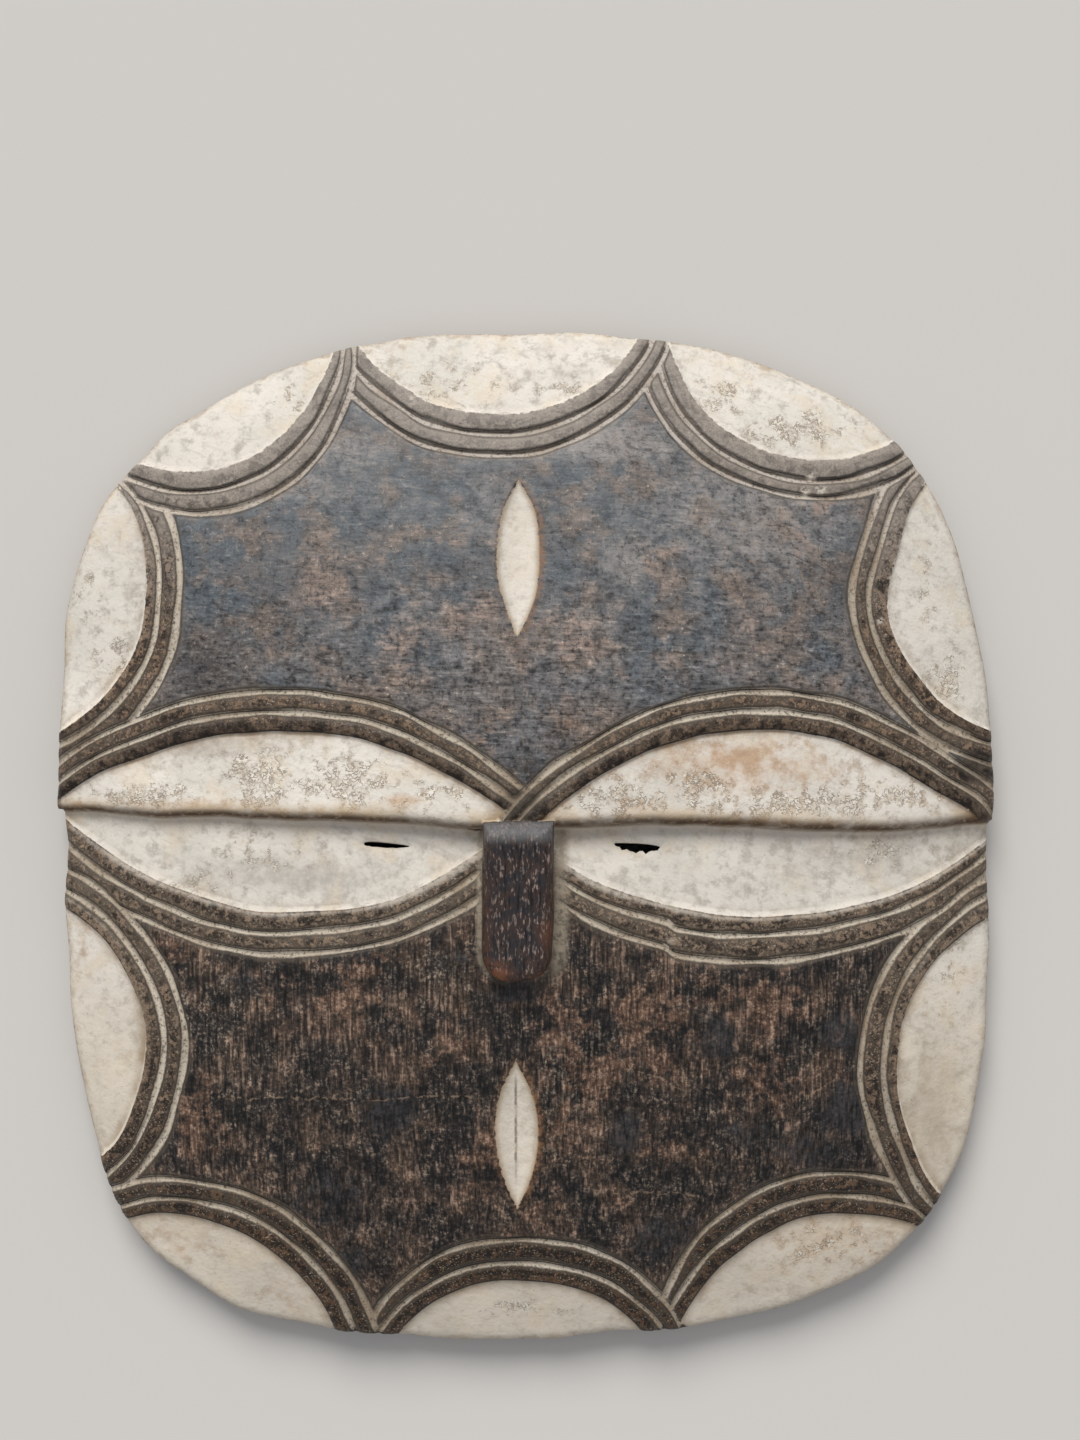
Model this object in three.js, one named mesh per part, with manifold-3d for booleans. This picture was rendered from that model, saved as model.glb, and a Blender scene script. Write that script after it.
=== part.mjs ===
// A Teke mask carved from one board: a domed face with a jutting eye line, a block nose,
// fourteen scallops bordered by pairs of cut lines, two leaf marks and a hollowed back.
// Millimetres. X runs across the face, Y up it, Z out of it. The mask lies on the flat rim of its back.

import * as THREE from 'three';
import { mergeVertices } from 'three/addons/utils/BufferGeometryUtils.js';
import Module from 'manifold-3d';

const wasm = await Module();
wasm.setup();

// Driving dimensions of the board

const upperBoard = { centreY: 35.7, left: 161.5, right: 160.5, reach: 139.3, power: 2.5 };
const lowerBoard = { centreY: -15.5, left: 158.7, right: 161.2, reach: 159.5, power: 3.15 };
const lipReach = 162; // half width at the ends of the eye line, where the upper half juts out
const lipFlare = 8; // height of the flare at those ends

// How far the hand-cut outline strays out of that even curve, as [direction in degrees, distance]
const outlineStray = [
  [0, 0], [6, 1.2], [12, 0.8], [26, -1.7], [39, 0], [48, 1.4], [62, 0], [102, 0], [126, -1.2], [134, -0.4],
  [142, 2], [153, 0.3], [162, -0.8], [174, 0.5], [182, 0], [188, 0.8], [200, 0], [209, -1.4], [219, 0.2],
  [227, 2], [234, 0.4], [239, 1.5], [247, 0], [271, 0], [283, -2.2], [303, -2.2], [312, 0], [321, 0.9],
  [345, 0], [360, 0],
];
const rimHeight = 15;
const domeRise = 27;
const domePower = 2.2;
const rimChamfer = 3;
const rimFoot = 0.12; // share of the rim's height that is rounded off at the back

// Eye line: where the upper half ends, as height Y at distances X across the face
const lipLine = [[-162, 9.4], [-120, 7.8], [-75, 7.6], [-10, 4.6], [58, 5.7], [121, 3.2], [162, 5.2]];
const lipLift = { centre: 5, rim: 3, fade: 150 }; // the upper half rises towards the eye line
const lipScoop = { centre: 4, rim: 2, fade: 32 }; // the lower half dips under it
const lipRound = 3.2;
const lipRoundMiddle = 0.3; // where the rounding's two facets meet, as a share of it

// Hollow of the back
const hollowReach = 0.9; // share of the outline that is hollowed, inside a flat rim
const hollowDepth = 26;
const hollowPower = 2.5;
const hollowSink = 4; // how far its cutter starts below the back

// Scallops. Each is a circle on the board whose ground is cut back, and two cut lines follow it outside.
// Turns are in degrees round the circle's centre, and a line gives its distance from the circle's edge
// at the start, middle and end of the turn.
const groundDepth = 1.6;
const line = { width: 2.6, depth: 1.4, above: 2.2, runOut: 10, step: 11 };

const scallops = {
  crown: {
    at: [-9.5, 201], radius: 57, from: -145, to: -33,
    inner: [6, 7, 5], outer: [12.5, 15, 11.5],
  },
  crownLeft: {
    at: [-116, 174.5], radius: 50, from: -110, to: -7,
    inner: [5.5, 8, 4], outer: [12, 16, 10],
  },
  crownRight: {
    at: [100, 180], radius: 51.5, from: -166, to: -58,
    inner: [5, 6.5, 6.5], outer: [12, 13, 11.5],
  },
  templeLeft: {
    at: [-185, 86.5], radius: 56.5, from: 36, to: -63,
    inner: [3, 5, 5], outer: [10.5, 11, 11.5],
  },
  templeRight: {
    at: [174.5, 85], radius: 51, from: 141, to: 252,
    inner: [5, 6.5, 5], outer: [11.5, 13, 10.5],
  },
  browLeft: {
    at: [-86, -92.5], radius: 129.5, from: 122, to: 53,
    inner: [3.5, 6.5, 4.5], outer: [10.5, 13.5, 11],
  },
  browRight: {
    at: [79, -69], radius: 106.5, from: 133, to: 45,
    inner: [5, 6, 5.5], outer: [9.5, 12.5, 12.5],
  },
  underEyeLeft: {
    at: [-80.5, 91.5], radius: 115, from: -129, to: -56,
    inner: [7, 8, 6.5], outer: [15, 15.5, 14],
  },
  underEyeRight: {
    at: [82.5, 111], radius: 137.5, from: -121, to: -56,
    inner: [5, 5.5, 3], outer: [12, 14.5, 9],
  },
  cheekLeft: {
    at: [-183, -71.5], radius: 54, from: 63, to: -45,
    inner: [4.5, 5.5, 7], outer: [10, 12.5, 13],
  },
  cheekRight: {
    at: [186.5, -81.5], radius: 60, from: 116, to: 223,
    inner: [5.5, 6, 5], outer: [11.5, 13.5, 10.5],
  },
  jawLeft: {
    at: [-123.5, -192.5], radius: 63, from: 102, to: 19,
    inner: [5, 6.5, 5], outer: [11, 14, 11.5],
  },
  jawRight: {
    at: [108.5, -185.5], radius: 57.5, from: 166, to: 62,
    inner: [4.5, 7, 5.5], outer: [9.5, 15, 10.5],
  },
  chin: {
    at: [-1.5, -205.5], radius: 54.5, from: 144, to: 40,
    inner: [4.5, 6, 6], outer: [12, 15, 14.5],
  },
};

// Where two borders meet, the one named first here runs through and the next one stops at it.
const carvingOrder = {
  upper: [
    ['browRight', 'inner', 'outer'],
    ['browLeft', 'inner', 'outer'],
    ['templeLeft', 'inner'],
    ['crownLeft', 'inner', 'outer'],
    ['templeLeft', 'outer'],
    ['crown', 'inner', 'outer'],
    ['crownRight', 'inner', 'outer'],
    ['templeRight', 'inner', 'outer'],
  ],
  lower: [
    ['underEyeRight', 'inner', 'outer'],
    ['cheekRight', 'inner', 'outer'],
    ['jawLeft', 'inner', 'outer'],
    ['chin', 'inner', 'outer'],
    ['jawRight', 'inner', 'outer'],
    ['cheekLeft', 'inner', 'outer'],
    ['underEyeLeft', 'inner', 'outer'],
  ],
};

// Nose, marks and eye slits
const nose = {
  x: -1.6, top: 6.5, bottom: -47.5,
  topWidth: 22, bottomWidth: 24.4,
  corner: 9, // curve of the two lower corners
  base: 29, front: 51, // heights Z it stands between, the base being inside the wood
  bevel: 3,
};
// A mark is a leaf-shaped cut. A higher power makes that end blunter, and few sides make a crease.
const foreheadMark = {
  x: -2.1, top: 121.7, bottom: 66.7, width: 15.4, depth: 2.6,
  sides: 10, topPower: 2.6, bottomPower: 1.8,
};
const chinMark = {
  x: -2.7, top: -73.3, bottom: -125.6, width: 15.4, depth: 3.2,
  sides: 4, topPower: 2.2, bottomPower: 1.8,
};
const markSink = 0.1; // how far a mark's cutter is sunk, so that it is clear of the face
const slits = [
  { x: -46.4, y: -1.6, length: 16.6, width: 2.4, tilt: -7 },
  { x: 37.7, y: -2.6, length: 15.4, width: 2.6, tilt: -12 },
];

// Fineness of the facets
const arcColumns = 22;
const domeRings = [0.9, 0.77, 0.62, 0.45, 0.25]; // shares of the outline
const hollowRings = [0.8, 0.55, 0.3];
const discSides = 48;
const lipStep = 18;
const markStep = 0.2; // share of a mark's half length

// Cutters reach past what they cut
const tall = 80;
const beyond = 200; // past the outline on every side
const under = 1; // below the back
const overRim = 1.02; // share of the outline
const halvesOverlap = 4; // the lower half runs on under the upper one

const smooth = (t) => t * t * (3 - 2 * t);
const signedPower = (value, power) => Math.sign(value) * Math.abs(value) ** power;
const radians = THREE.MathUtils.degToRad;

// Shape of the board

// Reads a smooth curve through a list of [place, value]
function readAlong(list, place) {
  const held = THREE.MathUtils.clamp(place, list[0][0], list.at(-1)[0]);
  const next = Math.max(1, list.findIndex((point) => point[0] >= held));
  const [from, before] = list[next - 1];
  const [to, after] = list[next];
  return before + (after - before) * smooth((held - from) / (to - from));
}

const lipAt = (x) => readAlong(lipLine, x);

// Share by which the outline lies out of the even curve, in the direction of a point
function strayShare(x, y) {
  const direction = (THREE.MathUtils.radToDeg(Math.atan2(y, x)) + 360) % 360;
  return readAlong(outlineStray, direction) / lipReach;
}

// 0 on the middle line of the board and 1 on its outline
function reachAt(faceX, faceY) {
  const pull = 1 - strayShare(faceX, faceY);
  const [x, y] = [faceX * pull, faceY * pull];
  const side = x < 0 ? 'left' : 'right';
  const board = y > upperBoard.centreY ? upperBoard : lowerBoard;
  const across = Math.abs(x) / board[side];
  if (y <= upperBoard.centreY && y >= lowerBoard.centreY) {
    const up = (y - lowerBoard.centreY) / (upperBoard.centreY - lowerBoard.centreY);
    return Math.abs(x) / (lowerBoard[side] + (upperBoard[side] - lowerBoard[side]) * up);
  }
  const along = Math.abs(y - board.centreY) / board.reach;
  return (across ** board.power + along ** board.power) ** (1 / board.power);
}

// Height of the uncarved face, for the half that juts out or the half below it
function faceAt(x, y, half) {
  const reach = Math.min(reachAt(x, y), 1);
  const dome = rimHeight + domeRise * (1 - reach ** domePower);
  const shape = half === 'upper' ? lipLift : lipScoop;
  const away = Math.max(half === 'upper' ? y - lipAt(x) : lipAt(x) - y, 0);
  const near = Math.max(1 - away / shape.fade, 0);
  const amount = (shape.centre + (shape.rim - shape.centre) * reach) * smooth(near);
  return half === 'upper' ? dome + amount : dome - amount;
}

// Columns round the outline, each from a point on the middle line to a point on the rim
function boardColumns(half) {
  const columns = [];
  const arc = (board, from) => {
    for (let i = 0; i <= arcColumns; i += 1) {
      const angle = from + (Math.PI * i) / arcColumns;
      const across = signedPower(Math.cos(angle), 2 / board.power);
      const along = signedPower(Math.sin(angle), 2 / board.power);
      const evenX = across * (across < 0 ? board.left : board.right);
      const evenY = board.centreY + along * board.reach;
      const out = 1 + strayShare(evenX, evenY);
      columns.push({ rimX: evenX * out, rimY: evenY * out, spineY: board.centreY });
    }
  };
  const side = (sign, name, heights) => {
    for (const rise of heights) {
      const rimY = lipAt(sign * lipReach) + rise;
      const plain = rise > lipFlare / 2 ? upperBoard[name] : lowerBoard[name];
      const flared = half === 'upper' && rise < lipFlare / 2;
      columns.push({ rimX: sign * (flared ? lipReach : plain), rimY, spineY: lipAt(0) + rise });
    }
  };
  arc(upperBoard, 0);
  side(-1, 'left', [lipFlare, 1, -lipFlare]);
  arc(lowerBoard, Math.PI);
  side(1, 'right', [-lipFlare, 1, lipFlare]);
  return columns;
}

// Solids

function toSolid(geometry) {
  const bare = geometry.index ? geometry.clone() : geometry;
  bare.deleteAttribute('uv');
  bare.deleteAttribute('normal');
  const merged = mergeVertices(bare, 1e-3);
  const corners = merged.index.array;
  const kept = [];
  for (let i = 0; i < corners.length; i += 3) {
    const [a, b, c] = [corners[i], corners[i + 1], corners[i + 2]];
    if (a !== b && b !== c && c !== a) kept.push(a, b, c);
  }
  return new wasm.Manifold(new wasm.Mesh({
    numProp: 3,
    vertProperties: new Float32Array(merged.attributes.position.array),
    triVerts: new Uint32Array(kept),
  }));
}

// A turned disc drawn out to the board's outline.
// A profile point is [share of the outline, share of the height].
function boardSolid(half, profile, bottom, topAt) {
  const columns = boardColumns(half);
  const points = profile.map(([out, up]) => new THREE.Vector2(out, up));
  const turned = new THREE.LatheGeometry(points, columns.length);
  const position = turned.attributes.position;
  for (let i = 0; i <= columns.length; i += 1) {
    const { rimX, rimY, spineY } = columns[i % columns.length];
    profile.forEach(([out, up], ring) => {
      const x = rimX * out;
      const y = spineY + (rimY - spineY) * out;
      position.setXYZ(i * profile.length + ring, x, y, bottom + (topAt(x, y) - bottom) * up);
    });
  }
  return toSolid(turned);
}

function domeSolid(half) {
  const edge = 1 - rimChamfer / lipReach;
  const shoulder = 1 - rimChamfer / rimHeight;
  const rings = domeRings.map((out) => [out, 1]);
  const profile = [[0, 0], [edge, 0], [1, rimFoot], [1, shoulder], [edge, 1], ...rings, [0, 1]];
  return boardSolid(half, profile, 0, (x, y) => faceAt(x, y, half));
}

// The same dome, cut back all over by the depth of the scallops' ground
function groundSolid(half) {
  const rings = domeRings.map((out) => [out, 1]);
  const edge = 1 - rimChamfer / lipReach;
  const profile = [[0, 0], [overRim, 0], [overRim, 1], [edge, 1], ...rings, [0, 1]];
  return boardSolid(half, profile, -under, (x, y) => faceAt(x, y, half) - groundDepth);
}

function hollowSolid() {
  const rings = hollowRings.map((out) => [out * hollowReach, 1]);
  const profile = [[0, 0], [hollowReach, 0], [hollowReach, 1], ...rings, [0, 1]];
  const depthAt = (x, y) => hollowDepth * (1 - Math.min(reachAt(x, y) / hollowReach, 1) ** hollowPower);
  return boardSolid('lower', profile, -hollowSink, depthAt);
}

// Everything above the eye line, or everything below it and a little beyond
function lipSide(half) {
  const sign = half === 'upper' ? 1 : -1;
  const overlap = half === 'upper' ? 0 : halvesOverlap;
  const shape = new THREE.Shape();
  shape.moveTo(-beyond, sign * beyond);
  shape.lineTo(-beyond, lipAt(-beyond) + overlap);
  for (let x = -lipReach; x <= lipReach; x += lipStep) shape.lineTo(x, lipAt(x) + overlap);
  shape.lineTo(beyond, lipAt(beyond) + overlap);
  shape.lineTo(beyond, sign * beyond);
  const wall = new THREE.ExtrudeGeometry(shape, { depth: tall, bevelEnabled: false });
  return toSolid(wall.translate(0, 0, -under));
}

// Circles of the scallops

function pointOn(scallop, angle, offset) {
  const turn = radians(angle);
  const away = scallop.radius + offset;
  return new THREE.Vector2(scallop.at[0] + away * Math.cos(turn), scallop.at[1] + away * Math.sin(turn));
}

// The circle through a line's three points
function circleOf(scallop, offsets) {
  const angles = [scallop.from, (scallop.from + scallop.to) / 2, scallop.to];
  const [a, b, c] = angles.map((angle, i) => pointOn(scallop, angle, offsets[i]));
  const d = 2 * (a.x * (b.y - c.y) + b.x * (c.y - a.y) + c.x * (a.y - b.y));
  const [aa, bb, cc] = [a.lengthSq(), b.lengthSq(), c.lengthSq()];
  const x = (aa * (b.y - c.y) + bb * (c.y - a.y) + cc * (a.y - b.y)) / d;
  const y = (aa * (c.x - b.x) + bb * (a.x - c.x) + cc * (b.x - a.x)) / d;
  return { at: [x, y], radius: Math.hypot(a.x - x, a.y - y) };
}

function discSolid(circle) {
  const disc = new THREE.CylinderGeometry(circle.radius, circle.radius, tall, discSides);
  disc.rotateX(Math.PI / 2);
  return toSolid(disc.translate(circle.at[0], circle.at[1], tall / 2 - under));
}

// A path laid on the face of one half
class FacePath extends THREE.Curve {
  constructor(half, planAt) {
    super();
    this.half = half;
    this.planAt = planAt;
  }

  getPoint(t, target = new THREE.Vector3()) {
    const { x, y } = this.planAt(t);
    return target.set(x, y, faceAt(x, y, this.half));
  }
}

// Sweeps a section along a path: a section point is [depth into the face, distance across it].
function sweepSolid(section, path, steps) {
  const shape = new THREE.Shape(section.map(([down, across]) => new THREE.Vector2(down, across)));
  return toSolid(new THREE.ExtrudeGeometry(shape, { steps, extrudePath: path, bevelEnabled: false }));
}

function lineSolid(scallop, circle, half) {
  const run = Math.sign(scallop.to - scallop.from) * THREE.MathUtils.radToDeg(line.runOut / circle.radius);
  const [from, to] = [scallop.from - run, scallop.to + run];
  const planAt = (t) => pointOn(circle, from + (to - from) * t, 0);
  const flank = (line.width / 2) * (1 + line.above / line.depth);
  const section = [[line.depth, 0], [-line.above, flank], [-line.above, -flank]];
  const steps = Math.ceil((circle.radius * radians(Math.abs(to - from))) / line.step);
  return sweepSolid(section, new FacePath(half, planAt), steps);
}

// Carving of one half: the ground of its scallops and the lines round them
function carveHalf(half) {
  let face = domeSolid(half).intersect(lipSide(half));
  const ground = groundSolid(half);
  const grounded = new Set();
  let claimed = null; // what the borders carved so far enclose
  for (const [name, ...lines] of carvingOrder[half]) {
    const scallop = scallops[name];
    const circles = lines.map((place) => circleOf(scallop, scallop[place]));
    const cuts = circles.map((circle) => lineSolid(scallop, circle, half));
    if (!grounded.has(name)) cuts.push(discSolid(scallop).subtract(ground));
    grounded.add(name);
    for (const cut of cuts) face = face.subtract(claimed ? cut.subtract(claimed) : cut);
    const claim = discSolid(circles.at(-1));
    claimed = claimed ? claimed.add(claim) : claim;
  }
  return face;
}

// Rounds the edge of the jutting eye line
function lipRounding() {
  const out = lipRound * 2;
  const middle = lipRound * lipRoundMiddle;
  const reach = lipReach + out;
  const planAt = (t) => {
    const x = THREE.MathUtils.lerp(-reach, reach, t);
    return { x, y: lipAt(x) };
  };
  const section = [
    [lipRound, -out], [lipRound, 0], [middle, middle], [0, lipRound], [-out, lipRound], [-out, -out],
  ];
  return sweepSolid(section, new FacePath('upper', planAt), Math.ceil((2 * reach) / lipStep));
}

function noseSolid() {
  const half = { top: nose.topWidth / 2, bottom: nose.bottomWidth / 2 };
  const shape = new THREE.Shape();
  shape.moveTo(-half.top, nose.top);
  shape.lineTo(-half.bottom, nose.bottom + nose.corner);
  shape.quadraticCurveTo(-half.bottom, nose.bottom, -half.bottom + nose.corner, nose.bottom);
  shape.lineTo(half.bottom - nose.corner, nose.bottom);
  shape.quadraticCurveTo(half.bottom, nose.bottom, half.bottom, nose.bottom + nose.corner);
  shape.lineTo(half.top, nose.top);
  const block = new THREE.ExtrudeGeometry(shape, {
    depth: nose.front - nose.base - 2 * nose.bevel,
    curveSegments: 5,
    bevelThickness: nose.bevel,
    bevelSize: nose.bevel,
    bevelOffset: -nose.bevel,
    bevelSegments: 2,
  });
  return toSolid(block.translate(nose.x, 0, nose.base + nose.bevel));
}

// A leaf-shaped cut, turned like a spindle and laid on the face
function markSolid(mark, half) {
  const profile = [new THREE.Vector2(0, -1)];
  for (let t = markStep - 1; t < 1 - markStep / 2; t += markStep) {
    profile.push(new THREE.Vector2(1 - Math.abs(t) ** (t > 0 ? mark.topPower : mark.bottomPower), t));
  }
  profile.push(new THREE.Vector2(0, 1));
  const ends = [mark.top, mark.bottom].map((y) => faceAt(mark.x, y, half));
  const middle = (mark.top + mark.bottom) / 2;
  const length = Math.hypot(mark.top - mark.bottom, ends[0] - ends[1]);
  const spindle = new THREE.LatheGeometry(profile, mark.sides);
  spindle.scale(mark.width / 2, length / 2, mark.depth);
  spindle.rotateX(Math.atan2(ends[0] - ends[1], mark.top - mark.bottom));
  return toSolid(spindle.translate(mark.x, middle, faceAt(mark.x, middle, half) - markSink));
}

function slitSolid(slit) {
  const shape = new THREE.Shape();
  shape.moveTo(-slit.length / 2, 0);
  shape.quadraticCurveTo(0, slit.width, slit.length / 2, 0);
  shape.quadraticCurveTo(0, -slit.width, -slit.length / 2, 0);
  const opening = new THREE.ExtrudeGeometry(shape, { depth: tall, bevelEnabled: false, curveSegments: 6 });
  opening.rotateZ(radians(slit.tilt));
  return toSolid(opening.translate(slit.x, slit.y, -under));
}

function maskSolid() {
  const upper = carveHalf('upper').subtract(lipRounding()).subtract(markSolid(foreheadMark, 'upper'));
  const lower = carveHalf('lower').intersect(lipSide('lower')).subtract(markSolid(chinMark, 'lower'));
  let mask = upper.add(lower).add(noseSolid()).subtract(hollowSolid());
  for (const slit of slits) mask = mask.subtract(slitSolid(slit));
  return mask;
}

// Scene graph

function toGeometry(solid) {
  const mesh = solid.getMesh();
  const geometry = new THREE.BufferGeometry();
  geometry.setAttribute('position', new THREE.BufferAttribute(mesh.vertProperties, mesh.numProp));
  geometry.setIndex(new THREE.BufferAttribute(mesh.triVerts, 1));
  geometry.computeVertexNormals();
  return geometry;
}

const carvedWood = new THREE.MeshStandardMaterial({ color: 0x3a2f28, roughness: 0.65, metalness: 0 });
const mask = new THREE.Mesh(toGeometry(maskSolid()), carvedWood);
mask.name = 'mask';

const model = new THREE.Group();
model.add(mask);

export default model;
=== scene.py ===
import cmath
import math
from functools import reduce
import bpy
import numpy as np
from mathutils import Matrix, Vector
from mathutils.geometry import delaunay_2d_cdt


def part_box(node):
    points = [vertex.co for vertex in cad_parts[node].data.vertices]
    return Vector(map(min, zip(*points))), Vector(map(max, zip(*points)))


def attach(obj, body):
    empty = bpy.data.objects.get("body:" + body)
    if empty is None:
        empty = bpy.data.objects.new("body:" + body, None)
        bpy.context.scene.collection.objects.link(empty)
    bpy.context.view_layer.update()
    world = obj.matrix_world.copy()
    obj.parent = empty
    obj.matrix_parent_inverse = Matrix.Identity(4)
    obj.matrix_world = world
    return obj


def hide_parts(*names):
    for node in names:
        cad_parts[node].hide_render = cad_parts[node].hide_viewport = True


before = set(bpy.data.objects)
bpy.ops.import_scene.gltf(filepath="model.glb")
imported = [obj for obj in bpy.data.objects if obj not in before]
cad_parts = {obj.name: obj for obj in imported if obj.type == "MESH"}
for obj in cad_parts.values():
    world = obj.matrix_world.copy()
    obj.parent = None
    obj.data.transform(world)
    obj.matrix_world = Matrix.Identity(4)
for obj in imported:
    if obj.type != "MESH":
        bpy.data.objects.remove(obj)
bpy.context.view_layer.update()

mm = 0.001  # shapes below are in millimetres, in the frame of the mask
print("frame loaded")


# Camera over the mask, which lies on its back

shot = {
    "over": (5.2, 40.2),  # where the middle of the picture falls
    "height": 715,
    "lens": 50.6,
}

cameraData = bpy.data.cameras.new("lookingDown")
camera = bpy.data.objects.new("lookingDown", cameraData)
bpy.context.scene.collection.objects.link(camera)
camera.location = Vector((*shot["over"], shot["height"])) * mm
cameraData.lens = shot["lens"]
bpy.context.scene.camera = camera
bpy.context.scene.view_settings.view_transform = "Standard"  # colours come out as they are named below
print("camera set")


def tone(*seen):  # a colour as seen on screen, each part from 11 to 255
    return tuple(((part / 255 + 0.055) / 1.055) ** 2.4 for part in seen)


# The shape of the mask, as one would want to change it

carving = {
    # the board, one even curve for each half; power makes its corners squarer
    "upper": {"centreY": 35.7, "left": 161.5, "right": 160.5, "reach": 139.3, "power": 2.5},
    "lower": {"centreY": -15.5, "left": 158.7, "right": 161.2, "reach": 159.5, "power": 3.15},
    "stray": [  # how the hand-cut outline leaves that curve: direction in degrees, distance outwards
        (0, 0), (6, 1.2), (12, 0.8), (26, -1.7), (39, 0), (48, 1.4), (62, 0), (102, 0), (126, -1.2),
        (134, -0.4), (142, 2), (153, 0.3), (162, -0.8), (174, 0.5), (182, 0), (188, 0.8), (200, 0),
        (209, -1.4), (219, 0.2), (227, 2), (234, 0.4), (239, 1.5), (247, 0), (271, 0), (283, -2.2),
        (303, -2.2), (312, 0), (321, 0.9), (345, 0), (360, 0)],
    "rimHeight": 15,
    "domeRise": 27,
    "domePower": 2.2,
    "rimRound": 3,
    "flare": 8,  # height over which the upper half widens at the ends of the eye line

    # the eye line, where the upper half juts out over the lower one
    "eyeLine": [(-162, 9.4), (-120, 7.8), (-75, 7.6), (-10, 4.6), (58, 5.7), (121, 3.2), (162, 5.2)],
    "lift": (5, 3, 150),  # rise of the upper half at the centre and at the rim, and how far it fades
    "scoop": (4, 2, 32),  # dip of the lower half, the same way
    "lipRound": 4,
    "lipLean": 0.6,
    "lipFillet": 1.8,

    # cut lines and grounds; where borders meet, the scallop named first runs through
    "orderUpper": ("browRight", "browLeft", "templeLeft edge inner", "crownLeft", "templeLeft outer", "crown",
                   "crownRight", "templeRight"),
    "orderLower": ("underEyeRight", "cheekRight", "jawLeft", "chin", "jawRight", "cheekLeft", "underEyeLeft"),
    "groundDepth": 1.7,
    "groundWall": 1.1,
    "lineWidth": 2.6,
    "lineDepth": 1.8,
    "lineRunOut": 12,
    "bandRound": (0.5, 2.3),  # how much and how far in the edges of the bands are rounded off

    # the hand of the carver: pairs of height and wavelength
    "seed": 11,
    "swell": ((0.22, 34), (0.045, 12), (0.02, 5)),
    "wander": ((0.32, 46), (0.09, 19)),
    "lineVary": (0.13, 21),

    # nose, leaf marks and eye slits
    "nose": {"x": -2.2, "top": 6.5, "bottom": -46.4, "topWidth": 23.7, "bottomWidth": 24.6, "corner": 9.5,
             "front": 50.4, "sideBevel": (3.4, 3.4), "topBevel": (5, 3.2), "wall": 0.9,
             "clear": (2.2, 6.5)},  # how far from it, to the left and the right, the cut lines taper off
    "marks": [
        {"x": -2.1, "top": 121.7, "bottom": 66.7, "width": 15.4, "depth": 2.4, "hollow": 2.6,
         "topPower": 2.6, "bottomPower": 1.8},
        {"x": -2.7, "top": -73.3, "bottom": -125.6, "width": 15.4, "depth": 2.8, "hollow": 1.15,
         "topPower": 2.2, "bottomPower": 1.8}],
    "slitRim": (0.6, 1.6),  # how deep and how far out the face sinks round a slit
    "slits": [  # ends: small is blunt, large is drawn out; above: share of the width over the middle
        {"x": -46.7, "y": -1.7, "length": 15.8, "width": 1.65, "tilt": -5, "ends": (0.3, 0.6), "above": 0.45,
         "ragged": 0.06},
        {"x": 37.7, "y": -2.1, "length": 15.4, "width": 2.7, "tilt": -7, "ends": (0.6, 0.5), "above": 0.22,
         "ragged": 0.2}],

    # small losses (x, y, radius, depth) and dried drips of kaolin (x, y, half width, half height, rise)
    "chips": [
        (97.9, 124, 2.2, 0.9), (101.2, 119.5, 2, 0.8), (95.3, 118.4, 1.8, 0.8), (-39.2, 149.4, 1.6, 0.5),
        (120.8, 74.1, 1.4, 0.5), (-124.5, -141.5, 2.2, 0.5), (48.5, -33.6, 1.1, 0.4), (150.5, 44, 1.5, 0.4)],
    "drips": [(65, 13.5, 1.5, 4.2, 0.6), (72.2, 13, 1.4, 4.8, 0.6), (68, 9.3, 3, 1, 0.4)],

    # back
    "hollowReach": 0.9,  # share of the outline that is hollowed, inside a flat rim
    "hollowDepth": 26,
    "hollowPower": 2.5,
    "gouge": (9, 15, 0.45),  # width, length and depth of a cut

    # spacing of the mesh: round the outline, along the cuts, between them, on the back
    "ringSpacing": 1.3,
    "rowSpacing": 1.25,
    "fillSpacing": 1.55,
    "backSpacing": 3.1,
}

# Scallops: centre, radius and turn of a circle of cut-back ground, how far outside it the two cut lines lie
# at start, middle and end, how the hand strayed outwards at even steps, and a jog where two strokes of a line
# didn't quite meet (place, size, how far it fades)

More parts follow.
